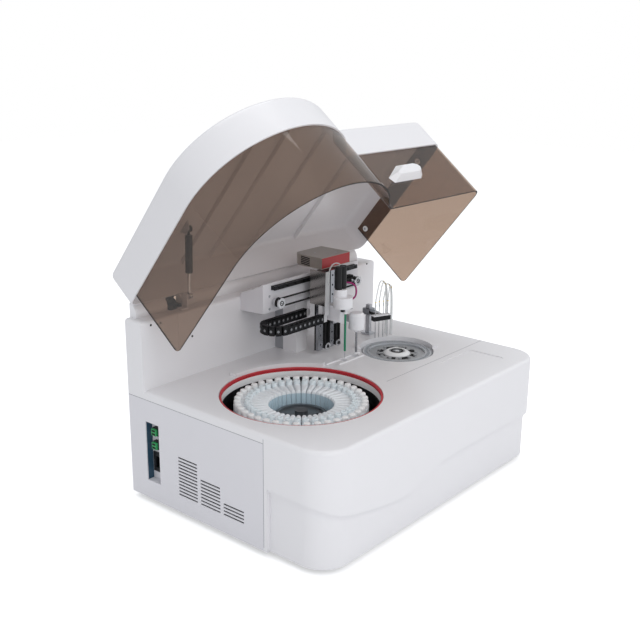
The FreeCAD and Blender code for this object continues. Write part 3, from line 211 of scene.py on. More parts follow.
nodesOfLook = {
    "coverAbs": ["front_cover", "upper_housing", "gantry_post", "lid_shell", "lid_handle"],
    "panelPaint": ["side_panel_left", "side_panel_right", "rear_panel", "io_panel", "gantry_plate"],
    "trayPaint": ["base_pan"],
    "rubberBlack": ["feet", "x_belt", "slide_belts"],
    "pitPlastic": ["reagent_pit"],
    "gasketRed": ["pit_gasket"],
    "rotorPlastic": ["reagent_rotor", "rinse_wells"],
    "bottlePlastic": ["reagent_bottles"],
    "cuvettePlastic": ["cuvettes"],
    "discSteel": ["reaction_disc"],
    "plateAluminium": ["reaction_bath", "mixer_carrier", "wash_post", "strut_bracket"],
    "machinedAluminium": ["x_drive_pulley", "x_idler_pulley", "probe_pulley", "mixer_pulley"],
    "blackSteel": ["rotor_motors", "syringe_pumps", "x_rail", "x_motor", "slide_frame", "lid_hinges",
                   "hinge_bases"],
    "groundSteel": ["x_slider", "slide_rails", "mixer_rod"],
    "polishedSteel": ["needle", "wash_needles", "gas_rod"],
    "coverMetal": ["motor_cover"],
    "carriageSteel": ["carriage_frame"],
    "spacerGrey": ["post_spacer"],
    "springBlack": ["gas_cylinder"],
    "blackPlastic": ["connectors", "cable_chain", "probe_cells", "wash_head"],
    "armWhite": ["probe_carrier", "probe_head", "mixer_head"],
    "sleeveGreen": ["needle_sleeve"],
    "boardGreen": ["electronics"],
    "clearHose": ["wash_tubes"],
    "smokedAcrylic": ["lid_visor"],
}

creases = {"cadDegrees": 28, "pieceDegrees": 35, "weld": 0.00001}


def splitEdges(piece, degrees):
    # smooth faces meet in a sharp edge where they turn by more than this
    split = piece.modifiers.new("split", "EDGE_SPLIT")
    split.split_angle = math.radians(degrees)


def faceData(mesh):
    # middles in millimetres and normals of all faces, one row each
    middles, facings = np.zeros(len(mesh.polygons) * 3), np.zeros(len(mesh.polygons) * 3)
    mesh.polygons.foreach_get("center", middles)
    mesh.polygons.foreach_get("normal", facings)
    return middles.reshape(-1, 3) / mm, facings.reshape(-1, 3)


def paintFaces(piece, look, chosen):
    # a second material on the faces that chosen picks by their middles and normals
    piece.data.materials.append(looks[look])
    picked = chosen(*faceData(piece.data))
    piece.data.polygons.foreach_set("material_index", picked.astype(np.int32))


for look, names in nodesOfLook.items():
    for name in names:
        node = nodes[name]
        node.data.materials.clear()
        node.data.materials.append(looks[look])
        node.data.polygons.foreach_set("use_smooth", np.ones(len(node.data.polygons), bool))
        weld = node.modifiers.new("weld", "WELD")
        weld.merge_threshold = creases["weld"]
        splitEdges(node, creases["cadDegrees"])

# Second finishes within one CAD node
accents = {"facingDown": 0.95, "facingFront": 0.9, "visorRear": 0.5, "hubRadius": 51.0, "hubLow": 170.0,
           "recessFront": 170.0, "bracketBack": 197.5, "flangeFront": 50.8, "flangeRight": 33.5,
           "clampLeft": 205.5}


def visorShadedEdge(middles, facings):
    # the lower edge and the rear end of the smoked sheet, both taken along the lid as it stands; they get the
    # nearly black edge, which is partly painted shade
    turn = math.radians(hinge["open"])
    downward = facings @ [0, -math.sin(turn), -math.cos(turn)]
    rearward = middles @ [0, math.cos(turn), -math.sin(turn)]
    return (downward > accents["facingDown"]) | (rearward > rearward.max() - accents["visorRear"])


def hubPlate(middles, facings):
    # the metal plate in the middle of the reagent rotor
    away = np.hypot(middles[:, 0] - rotorCentre[0], middles[:, 1] - rotorCentre[1])
    return (away < accents["hubRadius"]) & (middles[:, 2] > accents["hubLow"])


def recessShadeSide(middles, facings):
    # the rear side of the port window's recess, which faces the front, painted as shade with a blue
    # reflection
    return (facings[:, 1] < -accents["facingFront"]) & (middles[:, 1] > accents["recessFront"])


def strutBracket(middles, facings):
    # the painted bracket that carries the strut, in front of the two hinge blocks
    return middles[:, 1] < accents["bracketBack"]


def carriageFlangeLit(middles, facings):
    # the flange at the carriage's left front, drawn bright as a painted highlight
    return (middles[:, 1] < accents["flangeFront"]) & (middles[:, 0] < accents["flangeRight"])


def barClamp(middles, facings):
    # the steel clamp that holds the wash bar to its post
    return middles[:, 0] > accents["clampLeft"]


paintFaces(nodes["lid_visor"], "sheetEdgeShade", visorShadedEdge)
paintFaces(nodes["reagent_rotor"], "hubSteel", hubPlate)
paintFaces(nodes["io_panel"], "recessShadeBlue", recessShadeSide)
paintFaces(nodes["hinge_bases"], "panelPaint", strutBracket)
paintFaces(nodes["carriage_frame"], "flangeSteelLit", carriageFlangeLit)
paintFaces(nodes["wash_head"], "groundSteel", barClamp)
print("materials on the frame")


# Surfaces worked out as arrays

def gridFaces(rows, columns, wrap):
    # face (i, j) joins points (i, j), (i, j + 1), (i + 1, j + 1) and (i + 1, j); wrap closes each row round
    i, j = np.meshgrid(np.arange(rows - 1), np.arange(columns if wrap else columns - 1), indexing="ij")
    k = (j + 1) % columns
    quads = np.stack([i * columns + j, i * columns + k, (i + 1) * columns + k, (i + 1) * columns + j], -1)
    return quads.reshape(-1, 4)


def merge(*shapes):
    # several (points, faces) into one, each shape's faces counted on from the points before it
    points, faces, count = [], [], 0
    for shapePoints, shapeFaces in shapes:
        points.append(shapePoints)
        faces += [[int(v) + count for v in face] for face in shapeFaces]
        count += len(shapePoints)
    return np.concatenate(points), faces


def tube(path, radius, sides=12):
    # point = path + radius * (side cos a + other sin a), side and other square to the path; ends closed
    path = np.asarray(path, float)
    tangent = np.gradient(path, axis=0)
    tangent /= np.linalg.norm(tangent, axis=1)[:, None]
    guide = np.array([0.31, 0.77, 0.55])  # a direction that no cord here runs along
    side = np.cross(tangent, guide)
    side /= np.linalg.norm(side, axis=1)[:, None]
    other = np.cross(tangent, side)
    turn = np.linspace(0, 2 * np.pi, sides, endpoint=False)
    across = np.cos(turn)[None, :, None] * side[:, None] + np.sin(turn)[None, :, None] * other[:, None]
    points = (path[:, None] + across * radius).reshape(-1, 3)
    faces = gridFaces(len(path), sides, True).tolist()
    last = (len(path) - 1) * sides
    return points, faces + [list(range(sides))[::-1], list(range(last, last + sides))]


def smoothPath(corners, count=60):
    # Catmull-Rom cubic through the corners, with the first and last run mirrored outwards
    c = np.asarray(corners, float)
    c = np.vstack([2 * c[0] - c[1], c, 2 * c[-1] - c[-2]])
    t = np.linspace(0, len(c) - 3 - 1e-9, count)
    i = t.astype(int)
    f = (t - i)[:, None]
    a, b, d, e = c[i], c[i + 1], c[i + 2], c[i + 3]
    return 0.5 * (2 * b + (d - a) * f + (2 * a - 5 * b + 4 * d - e) * f ** 2
                  + (3 * b - a - 3 * d + e) * f ** 3)


def revolve(profile, centre, axis="Z", sides=24):
    # point = (radius cos a, radius sin a, height), the height along the axis through centre
    profile = np.asarray(profile, float)
    turn = np.linspace(0, 2 * np.pi, sides, endpoint=False)
    a = profile[:, 0][:, None] * np.cos(turn)
    b = profile[:, 0][:, None] * np.sin(turn)
    h = np.broadcast_to(profile[:, 1][:, None], a.shape)
    stack = {"Z": (a, b, h), "Y": (b, h, a), "X": (h, a, b)}[axis]
    points = np.stack(stack, -1).reshape(-1, 3) + np.asarray(centre, float)
    return points, gridFaces(len(profile), sides, True).tolist()


def boxes(rows):
    # eight corners and six faces for each row of x0, x1, y0, y1, z0, z1
    r = np.asarray(rows, float).reshape(-1, 6)
    corners = np.array([[0, 2, 4], [1, 2, 4], [1, 3, 4], [0, 3, 4],
                        [0, 2, 5], [1, 2, 5], [1, 3, 5], [0, 3, 5]])
    points = r[:, corners].reshape(-1, 3)
    quads = np.array([[0, 3, 2, 1], [4, 5, 6, 7], [0, 1, 5, 4], [1, 2, 6, 5], [2, 3, 7, 6], [3, 0, 4, 7]])
    faces = (quads[None] + 8 * np.arange(len(r))[:, None, None]).reshape(-1, 4)
    return points, faces.tolist()


def block(piece):
    # one box from a piece's spans along x, y and z
    return boxes([[*piece["x"], *piece["y"], *piece["z"]]])


def rounded(profileRadius, low, high, edge, steps=4):
    # a disc's profile, its upper edge a quarter circle of radius edge, closed at both ends
    turn = np.linspace(0, np.pi / 2, steps)
    r = profileRadius - edge + edge * np.cos(turn)
    z = high - edge + edge * np.sin(turn)
    return np.vstack([[0.001, low], [profileRadius, low], np.stack([r, z], 1), [0.001, high]])


def build(name, shape, look, body, smooth=True, bevel=0.0, recalc=False):
    # millimetre arrays to a mesh in metres at the origin; a piece with no body is left unattached
    points, faces = shape
    mesh = bpy.data.meshes.new(name)
    mesh.from_pydata((np.asarray(points) * mm).tolist(), [], faces)
    mesh.validate()
    piece = bpy.data.objects.new(name, mesh)
    bpy.context.scene.collection.objects.link(piece)
    mesh.materials.append(looks[look])
    if recalc:
        work = bmesh.new()
        work.from_mesh(mesh)
        bmesh.ops.remove_doubles(work, verts=work.verts, dist=creases["weld"])
        bmesh.ops.recalc_face_normals(work, faces=work.faces)
        work.to_mesh(mesh)
        work.free()
    mesh.polygons.foreach_set("use_smooth", np.full(len(mesh.polygons), smooth))
    if bevel:
        edge = piece.modifiers.new("edge", "BEVEL")
        edge.width = bevel * mm
        edge.segments = 2
    if smooth:
        splitEdges(piece, creases["pieceDegrees"])
    if body:
        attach(piece, body)
    return piece


def polar(centre, radius, degrees):
    # the point at a radius and an angle round centre
    a = np.radians(degrees)
    return centre[0] + radius * np.cos(a), centre[1] + radius * np.sin(a)


def turnAbout(points, centre, degrees):
    # points turned about a vertical line through centre
    a = math.radians(degrees)
    p = np.asarray(points, float) - [centre[0], centre[1], 0]
    x = p[:, 0] * math.cos(a) - p[:, 1] * math.sin(a)
    y = p[:, 0] * math.sin(a) + p[:, 1] * math.cos(a)
    return np.stack([x + centre[0], y + centre[1], p[:, 2]], 1)


def openLid(points):
    # from the closed lid to the lid as it stands: a turn about the hinge line
    a = math.radians(-hinge["open"])
    p = np.asarray(points, float)
    y, z = p[:, 1] - hinge["y"], p[:, 2] - hinge["z"]
    openY = hinge["y"] + y * math.cos(a) - z * math.sin(a)
    openZ = hinge["z"] + y * math.sin(a) + z * math.cos(a)
    return np.stack([p[:, 0], openY, openZ], 1)


def repeatRound(shape, centre, start, pitch, count):
    # copies of a shape at equal angles round centre
    return merge(*[(turnAbout(shape[0], centre, start + i * pitch), shape[1]) for i in range(count)])


# Reagent bottles: wedge bodies with a round outer end, a closed outer cap and an open inner neck
bottles = {"count": 40, "inner": 60.0, "outer": 124.0, "low": 121.0, "high": 207.0, "gap": 0.7, "corner": 1.0,
           "flankStart": 70.0, "endInset": 8.0, "endRadius": 7.0, "endsFrom": 25.0, "thinnest": 0.05,
           "shoulder": [(6.0, 0.0), (2.5, 0.8), (0.8, 2.0), (0.0, 3.4)], "blueTo": 61.5, "blueUnder": 200.0}
bottleTops = {"capRing": 117.0, "capWall": 0.3, "capHeight": 8.0, "capEdge": 2.6, "neckRing": 98.0,
              "neckRadius": 6.1, "bore": 4.0, "boreDepth": 40.0, "sunk": 1.0, "needleLine": 11.5}


def bottleShape():
    # a wedge of half a pitch to each side, lofted up through levels of (height, inset); its top draws in
    # like a shoulder, along x only at the two ends
    cx, cy = rotorCentre
    slope = math.tan(math.pi / bottles["count"])
    clear = bottles["gap"] / 2
    inner, corner = bottles["inner"], bottles["corner"]
    flank = np.linspace(bottles["flankStart"], bottles["outer"] - bottles["endInset"], 3)
    innerHalf = inner * slope - clear
    outerHalf = flank[-1] * slope - clear
    turn = np.linspace(-np.pi / 2, np.pi / 2, 9)
    endX = bottles["outer"] - bottles["endRadius"] + bottles["endRadius"] * np.cos(turn)
    endY = outerHalf * np.sin(turn)
    x = np.concatenate([[inner, inner + corner], flank, endX, flank[::-1], [inner + corner, inner]])
    y = np.concatenate([[corner - innerHalf, -innerHalf], clear - flank * slope, endY,
                        flank[::-1] * slope - clear, [innerHalf, innerHalf - corner]])
    fromMiddle = x - x.mean()
    ends = np.sign(fromMiddle) * (np.abs(fromMiddle) > bottles["endsFrom"])
    shoulder = [(bottles["high"] - drop, inset) for drop, inset in bottles["shoulder"]]
    levels = [(bottles["low"], 0.0)] + shoulder
    rows = [np.stack([cx + x - inset * ends,
                      cy + np.sign(y) * np.maximum(np.abs(y) - inset, bottles["thinnest"]),
                      np.full_like(x, z)], 1) for z, inset in levels]
    n = len(x)
    last = n * (len(levels) - 1)
    faces = gridFaces(len(levels), n, True).tolist() + [list(range(n))[::-1], list(range(last, last + n))]
    return np.concatenate(rows), faces


def blueShade(middles, facings):
    # the low inner ends of the bottles, seen in the others' shade
    away = np.hypot(middles[:, 0] - rotorCentre[0], middles[:, 1] - rotorCentre[1])
    return (away < bottles["blueTo"]) & (middles[:, 2] < bottles["blueUnder"])


def allBottles(shape):
    # one copy for each bottle, with a neck on the line that the needle travels along
    pitch = 360 / bottles["count"]
    offLine = bottleTops["needleLine"] - rotorCentre[1]
    start = math.degrees(math.asin(offLine / bottleTops["neckRing"])) % pitch
    return repeatRound(shape, rotorCentre, start, pitch, bottles["count"])


bottleTop = bottles["high"]
sunkTop = bottleTop - bottleTops["sunk"]
neckRadius, bore = bottleTops["neckRadius"], bottleTops["bore"]
capProfile = rounded(neckRadius + bottleTops["capWall"], sunkTop, bottleTop + bottleTops["capHeight"],
                     bottleTops["capEdge"])
boreFloor = bottleTop - bottleTops["boreDepth"]
neckProfile = [(neckRadius, sunkTop), (neckRadius, bottleTop + 6.6), (neckRadius - 0.8, bottleTop + 7.6),
               (bore + 0.4, bottleTop + 7.8), (bore, bottleTop + 7.2), (bore, boreFloor), (0.01, boreFloor)]
outerCap = revolve(capProfile, (rotorCentre[0] + bottleTops["capRing"], rotorCentre[1], 0), "Z", 20)
innerNeck = revolve(neckProfile, (rotorCentre[0] + bottleTops["neckRing"], rotorCentre[1], 0), "Z", 20)
bottleBodies = build("reagentBottleBodies", allBottles(bottleShape()), "bottlePlastic", "reagent_rotor",
                     recalc=True)
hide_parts("reagent_bottles")
paintFaces(bottleBodies, "bottleBlue", blueShade)
build("reagentBottleCaps", allBottles(outerCap), "capPlastic", "reagent_rotor", recalc=True)
build("reagentBottleNecks", allBottles(innerNeck), "bottleInner", "reagent_rotor")
print("bottles")


# Cable chain: links along two straight runs and a bend; the back run is held at the gantry plate,
# and the front run goes with the carriage
chain = {"low": 298.0, "high": 316.0, "front": 54.5, "back": 108.5, "thick": 10.0, "bend": -88.0,
         "fixed": 28.0, "moving": 18.0, "pitch": 12.6, "runGap": 0.7, "bendLinks": 7, "bendGap": 1.2}
chainLink = {"rim": 3.2, "wall": 2.0, "step": 3.0, "tongue": 1.0, "window": 2.6, "ring": 1.2, "raised": 0.5,
             "windowX": -1.2, "film": 0.15}


def linkShape(length):
    # one link about the origin, lying along x: two rims, two walls, a tongue and a ring round each window
    half = length / 2
    t = chain["thick"] / 2
    low, high = chain["low"], chain["high"]
    rim, wall, step, tongue = chainLink["rim"], chainLink["wall"], chainLink["step"], chainLink["tongue"]
    plates = boxes([[-half, half, -t, t, low, low + rim], [-half, half, -t, t, high - rim, high],
                    [-half, half - step, -t, -t + wall, low, high],
                    [-half, half - step, t - wall, t, low, high],
                    [-half + step, half, -t + tongue, t - tongue, low + tongue, high - tongue]])
    inner, outer = chainLink["window"], chainLink["window"] + chainLink["ring"]
    middle = (chainLink["windowX"], 0, (low + high) / 2)
    rings = []
    for side in (-1, 1):
        back = side * t - side * chainLink["raised"]
        front = side * t + side * chainLink["raised"]
        rings.append(revolve([(inner, back), (inner, front), (outer, front), (outer, back)], middle, "Y", 16))
    return merge(plates, *rings)


def linkWindowLight(length):
    # painted light seen through a link's two windows, drawn as a pale film
    t = chain["thick"] / 2
    middle = (chainLink["windowX"], 0, (chain["low"] + chain["high"]) / 2)
    radius, film = chainLink["window"], chainLink["film"]
    films = []
    for side in (-1, 1):
        front, back = side * (t + film), side * (t - chainLink["raised"])
        films.append(revolve([(0.01, front), (radius, front), (radius, back)], middle, "Y", 16))
    return merge(*films)


def placed(shape, x, y, degrees):
    # a shape turned about the vertical and set down at x, y
    return turnAbout(shape[0], (0, 0), degrees) + [x, y, 0], shape[1]


def chainRun(endX, y, degrees):
    # equal links from the held end to where the bend starts
    span = endX - chain["bend"]
    count = int(round(span / chain["pitch"]))
    step = span / count
    length = step - chain["runGap"]
    places = [endX - (i + 0.5) * step for i in range(count)]
    return (merge(*[placed(linkShape(length), x, y, degrees) for x in places]),
            merge(*[placed(linkWindowLight(length), x, y, degrees) for x in places]))


def chainBend():
    # links at equal angles round the half circle between the two runs
    r = (chain["back"] - chain["front"]) / 2
    centre = (chain["bend"], (chain["back"] + chain["front"]) / 2)
    length = math.pi * r / chain["bendLinks"] - chain["bendGap"]
    angles = [90 + (i + 0.5) * 180 / chain["bendLinks"] for i in range(chain["bendLinks"])]
    return (merge(*[placed(linkShape(length), *polar(centre, r, a), a + 90) for a in angles]),
            merge(*[placed(linkWindowLight(length), *polar(centre, r, a), a + 90) for a in angles]))


# The bend goes half as far as the carriage, so a run's share of the motion is a half where it meets the bend,
# and the bend's still and carried places lie so far apart that its share is a half all along it; these places
# are not used, and the pieces stay unattached
midY = (chain["back"] + chain["front"]) / 2 * mm
midZ = (chain["low"] + chain["high"]) / 2 * mm
farOff = 8.0  # metres
pastFixed = 2 * chain["bend"] - chain["fixed"]
pastMoving = 2 * chain["bend"] - chain["moving"]
chainParts = {
    "chainFixedRun": (chainRun(chain["fixed"], chain["back"], 0.0),
                      (chain["fixed"] * mm, 0, midZ), (pastFixed * mm, 0, midZ)),
    "chainMovingRun": (chainRun(chain["moving"], chain["front"], 180.0),
                       (pastMoving * mm, 0, midZ), (chain["moving"] * mm, 0, midZ)),
    "chainBend": (chainBend(), (0, midY + farOff, midZ), (0, midY - farOff, midZ)),
}
for name, ((links, windows), still, carried) in chainParts.items():
    linkPiece = build(name + "Links", links, "blackPlastic", None, smooth=False, bevel=0.5)
    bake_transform(linkPiece)
    windowPiece = build(name + "Windows", windows, "windowPaintedLight", None, smooth=False)
    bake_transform(windowPiece)
    if name == "chainFixedRun":
        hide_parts("cable_chain")
print("cable chain")


# Wash hoses: clear, from the needle tops over an arch and down into the deck, with two yellow bands on each
hoses = {"needles": [55.74, 64.74, 73.74, 82.74], "ring": 65.0, "top": 308.0, "radius": 1.5, "deck": 223.5,
         "deckX": 236.0, "stepX": 5.0, "deckY": 40.0, "stepY": 7.0, "arch": 330.0, "archStep": 3.0,
         "bandsAt": (9, 40), "bandWall": 0.4, "still": (0.235, 0.05, 0.3), "moving": (0.2, 0.05, 0.3)}


def hosePath(i):
    # points given relative to the needle's top and the hole in the deck
    x, y = polar(discCentre, hoses["ring"], hoses["needles"][i])
    deckX = hoses["deckX"] + hoses["stepX"] * (i % 2)
    deckY = hoses["deckY"] + hoses["stepY"] * i
    arch = hoses["arch"] + hoses["archStep"] * i
    return smoothPath([(x, y, hoses["top"] - 6), (x, y, hoses["top"] + 8),
                       (x + (deckX - x) * 0.25, y + (deckY - y) * 0.25, arch + 6),
                       ((x + deckX) / 2, (y + deckY) / 2, arch + 12), (deckX - 6, deckY - 2, arch - 4),
                       (deckX, deckY, arch - 40), (deckX, deckY, hoses["deck"])], 70)


hosePaths = [hosePath(i) for i in range(len(hoses["needles"]))]
for i, path in enumerate(hosePaths):
    bands = [tube(path[k:k + 2], hoses["radius"] + hoses["bandWall"]) for k in hoses["bandsAt"]]
    bandPiece = build("hoseBands%d" % i, merge(*bands), "tapeYellow", None)
    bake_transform(bandPiece)
hosePiece = build("washHoses", merge(*[tube(path, hoses["radius"]) for path in hosePaths]), "clearHose", None)
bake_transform(hosePiece)
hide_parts("wash_tubes")

# Probe hose: clear loop from the top of the carriage flange to the probe head
probeHose = {"radius": 1.3, "still": (0.03, 0.046, 0.41), "moving": (0.05, 0.03, 0.38),
             "route": [(27, 47, 376), (27, 46, 400), (30, 42, 415), (37, 36, 420.5), (46, 31, 415),
                       (52, 29, 398), (53.5, 28, 376), (53, 25, 354)]}
hose = build("probeHose", tube(smoothPath(probeHose["route"], 60), probeHose["radius"]), "clearHose", None)
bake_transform(hose)
print("hoses")


# Screw caps of the visor, two on each side wall inside the lid, with a screw's head standing out of each
visorScrews = {"walls": [(335.7, -1), (-337.0, 1)], "places": [(153.8, 381.1), (-62.2, 377.6)],
               "cap": [(0.01, 2.5), (5.5, 2.5), (6.5, 1.5), (6.5, 0.0), (0.01, 0.0)],
               "head": [(0.01, 3.0), (2.0, 3.0), (2.6, 2.5), (2.6, 0.0), (0.01, 0.0)]}


def insideVisor(profile, sides):
    # a turned piece at every screw, pointing inwards from its wall, on the lid as it stands
    shapes = []
    for y, z in visorScrews["places"]:
        for x, inwards in visorScrews["walls"]:
            shapes.append(revolve([(r, inwards * h) for r, h in profile], (x, y, z), "X", sides))
    points, faces = merge(*shapes)
    return openLid(points), faces


build("visorScrewCaps", insideVisor(visorScrews["cap"], 24), "capPlastic", "lid", recalc=True)
build("visorScrewHeads", insideVisor(visorScrews["head"], 16), "screwSteel", "lid", recalc=True)
print("lid trims")


def screwHeads(places, axis, radius, height):
    # low domed heads along an axis
    profile = [(0.01, height), (radius * 0.6, height), (radius, height * 0.5), (radius, 0.0)]
    return merge(*[revolve(profile, p, axis, 14) for p in places])


# Plain red field on the front of the motor cover
redField = {"x": (55.0, 144.0), "y": (87.6, 88.1), "z": (397.0, 418.0)}
build("plainRedField", block(redField), "labelRed", "carriage", smooth=False)

# Screws in the gantry plate
gantryScrews = {"places": [(-75, 112.5, 361), (-75, 112.5, 335), (-47, 112.5, 335), (-58, 112.5, 372)],
                "radius": 2.6, "height": -1.4}
screwShape = screwHeads(gantryScrews["places"], "Y", gantryScrews["radius"], gantryScrews["height"])
build("gantryScrews", screwShape, "screwSteel", "root", recalc=True)

# Painted shade behind the louvres of the left panel, a dark sheet: three groups of y span and number of
# louvres
louvres = {"x": (-342.9, -342.4), "groups": [(36.4, 86.4, 12), (-21.6, 28.4, 8), (-79.6, -29.6, 4)],
           "margin": 2.0, "low": 42.0, "first": 48.0, "pitch": 6.6}
louvreRows = [[*louvres["x"], y0 - louvres["margin"], y1 + louvres["margin"], louvres["low"],
               louvres["first"] + louvres["pitch"] * count] for y0, y1, count in louvres["groups"]]
build("ventShade", boxes(louvreRows), "holeShade", "root", smooth=False)

# Red bead that the gasket shows above its seat, and the pale collar under it
bead = {"ring": 147.6, "height": 220.4, "radius": 2.4}
beadProfile = [(bead["ring"] + bead["radius"] * math.cos(a), bead["height"] + bead["radius"] * math.sin(a))
               for a in np.linspace(0, 2 * np.pi, 15)]
build("gasketBead", revolve(beadProfile, (*rotorCentre, 0), "Z", 160), "gasketRed", "root", recalc=True)
collar = {"inner": 145.7, "outer": 146.5, "low": 203.0, "high": 215.4}
collarProfile = [(collar["inner"], collar["low"]), (collar["inner"], collar["high"]),
                 (collar["outer"], collar["high"]), (collar["outer"], collar["low"]),
                 (collar["inner"], collar["low"])]
build("pitCollar", revolve(collarProfile, (*rotorCentre, 0), "Z", 120), "capPlastic", "root", recalc=True)

# Painted shade inside the motor cover: a dark sheet behind its left side
coverInsideShade = {"x": (56.0, 56.6), "y": (92, 147), "z": (399, 416)}
build("coverInsideShade", block(coverInsideShade), "holeShade", "carriage", smooth=False)

# White plate on the wash bar, along the chord of its four needles
washPlate = {"halfWide": 6.5, "halfLong": 21.5, "z": (282.0, 284.0)}
barAngle = sum(hoses["needles"]) / len(hoses["needles"])
barX, barY = polar(discCentre, hoses["ring"], barAngle)
plate = boxes([[barX - washPlate["halfWide"], barX + washPlate["halfWide"],
                barY - washPlate["halfLong"], barY + washPlate["halfLong"], *washPlate["z"]]])
build("washPlate", (turnAbout(plate[0], (barX, barY), barAngle), plate[1]), "armWhite", "wash", smooth=False,
      bevel=0.4)

# Black bearing block of the idler, and the motor cable in a loop at the carriage's right edge
idlerBlock = {"x": (166.5, 176.0), "y": (101.5, 112.4), "z": (342, 361)}
build("idlerBlock", block(idlerBlock), "blackPlastic", "root", smooth=False, bevel=0.5)
motorCable = {"radius": 1.9,
              "route": [(107, 88, 354), (118, 80, 358), (128, 68, 357), (132, 60, 349), (132, 60, 331),
                        (126, 68, 322), (114, 81, 320), (107, 88, 323)]}
cableShape = tube(smoothPath(motorCable["route"], 50), motorCable["radius"])
build("motorCable", cableShape, "cableMagenta", "carriage")

# Middle of the reaction disc: ring, a dark ring of painted shade in its recess, and screw as profiles of
# (radius, height above the disc), and eight slots of 27 degrees round them drawn as painted shade
disc = {"top": 217.0, "slots": 8, "slotIn": 30.0, "slotOut": 42.0, "slotFrom": 4, "slotTo": 31, "film": 0.15}
hub = {"ring": [(17.2, 0.0), (17.2, 5.6), (21.0, 5.6), (27.0, 1.2), (27.0, 0.0)],
       "shadeRing": [(9.2, 5.0), (9.2, 5.4), (13.6, 5.4), (13.6, 5.0)],
       "screw": [(0.01, 2.0), (0.01, 5.2), (4.6, 5.2), (5.4, 4.6), (5.4, 2.0)]}
discTop = (*discCentre, disc["top"])
build("reactionHubRing", revolve(hub["ring"], discTop, "Z", 64), "capPlastic", "reaction_rotor", recalc=True)
build("reactionHubRecessShade", revolve(hub["shadeRing"], discTop, "Z", 48), "rubberBlack", "reaction_rotor", recalc=True)
build("reactionHubScrew", revolve(hub["screw"], discTop, "Z", 32), "machinedAluminium", "reaction_rotor",
      recalc=True)


def slotShadeShape(k):
    # a flat patch of painted shade between two arcs, just above the disc
    first = k * 360 / disc["slots"]
    turn = np.radians(np.linspace(first + disc["slotFrom"], first + disc["slotTo"], 7))
    inner = np.stack([disc["slotIn"] * np.cos(turn), disc["slotIn"] * np.sin(turn)], 1)
    outer = np.stack([disc["slotOut"] * np.cos(turn), disc["slotOut"] * np.sin(turn)], 1)
    rim = np.vstack([inner, outer[::-1]]) + discCentre
    return np.column_stack([rim, np.full(len(rim), disc["top"] + disc["film"])]), [list(range(len(rim)))]


slotShadeShapes = merge(*[slotShadeShape(k) for k in range(disc["slots"])])
build("reactionSlotShade", slotShadeShapes, "holeShade", "reaction_rotor", smooth=False, recalc=True)

# Column front: screw recesses drawn as dark discs of painted shade, and the raised strip beside the strut
column = {"front": 174.5, "holes": [(-322, 345), (-299, 344), (-223, 301), (318, 349)],
          "radius": 2.2, "deep": 0.3}
holeShadeDisc = [(0.01, -column["deep"]), (column["radius"], -column["deep"]), (column["radius"], 0.0)]
columnHoleShade = merge(*[revolve(holeShadeDisc, (x, column["front"], z), "Y", 14) for x, z in column["holes"]])
build("columnScrewHoleShade", columnHoleShade, "holeShade", "root", recalc=True)
strip = {"x": (-258, -228), "y": (173.0, 174.6), "z": (285, 352)}
build("columnStrip", block(strip), "coverAbs", "root", smooth=False, bevel=0.6)

# Half-round rail on the rear edge of the housing, round the hinge line, clear of the lid's back edge
hingeRail = {"radius": 19.4, "foot": 353.5, "rear": 219.4, "steps": 14,
             "spans": [(-333, -258), (-222, 222), (258, 316)]}


def railShape():
    # the D of the hinge circle above the foot and in front of the rear, carried along each span of x
    radius = hingeRail["radius"]
    first = math.pi + math.asin((hinge["z"] - hingeRail["foot"]) / radius)
    last = math.pi / 2 + math.asin((hinge["y"] - hingeRail["rear"]) / radius)
    turn = np.linspace(first, last, hingeRail["steps"])
    outline = [(hinge["y"] + radius * math.cos(a), hinge["z"] + radius * math.sin(a)) for a in turn]
    outline.append((hingeRail["rear"], hingeRail["foot"]))
    n = len(outline)
    ends = [list(range(n)), list(range(n, 2 * n))[::-1]]
    sides = [[i, i + n, (i + 1) % n + n, (i + 1) % n] for i in range(n)]
    return merge(*[(np.array([(x, y, z) for x in span for y, z in outline]), ends + sides)
                   for span in hingeRail["spans"]])


build("hingeRail", railShape(), "coverAbs", "root", recalc=True)

# Painted shade in the middle of each belt pulley, a dark ring and dot: its joint, y of its front face, radius
# of the ring
centres = {"driveCentre": ("x_drive_spin", 90.9, 3.6), "idlerCentre": ("x_idler_spin", 90.9, 3.6),
           "probeCentre": ("probe_pulley_spin", 63.4, 2.6), "mixerCentre": ("mixer_pulley_spin", 63.4, 2.6)}
centreShade = {"raised": 0.35, "ring": 1.5, "dot": 1.3}
for name, (joint, front, radius) in centres.items():
    place = (pivot(joint)[0], front, pivot(joint)[2])
    outer, dot, raised = radius + centreShade["ring"], centreShade["dot"], -centreShade["raised"]
    ringMark = revolve([(radius, 0.0), (radius, raised), (outer, raised), (outer, 0.0)], place, "Y", 28)
    dotMark = revolve([(0.01, raised), (dot, raised), (dot, 0.0)], place, "Y", 16)
    build(name, merge(ringMark, dotMark), "holeShade", joints[joint]["child"], recalc=True)

# Slanted vent slots, drawn as dark patches of painted shade on the left side of the motor cover, and two
# screws on its top
coverVentShade = {"x": 53.9, "y": (120.0, 144.0), "z": 398.0, "rise": 2.0, "high": 2.3, "pitch": 3.6, "count": 5}


def ventSlotShade(k):
    # a flat parallelogram of painted shade just outside the cover
    x, (y0, y1) = coverVentShade["x"], coverVentShade["y"]
    low = coverVentShade["z"] + k * coverVentShade["pitch"]
    rise, high = coverVentShade["rise"], coverVentShade["high"]
    rim = [(x, y0, low), (x, y1, low + rise), (x, y1, low + rise + high), (x, y0, low + high)]
    return np.array(rim), [[3, 2, 1, 0]]


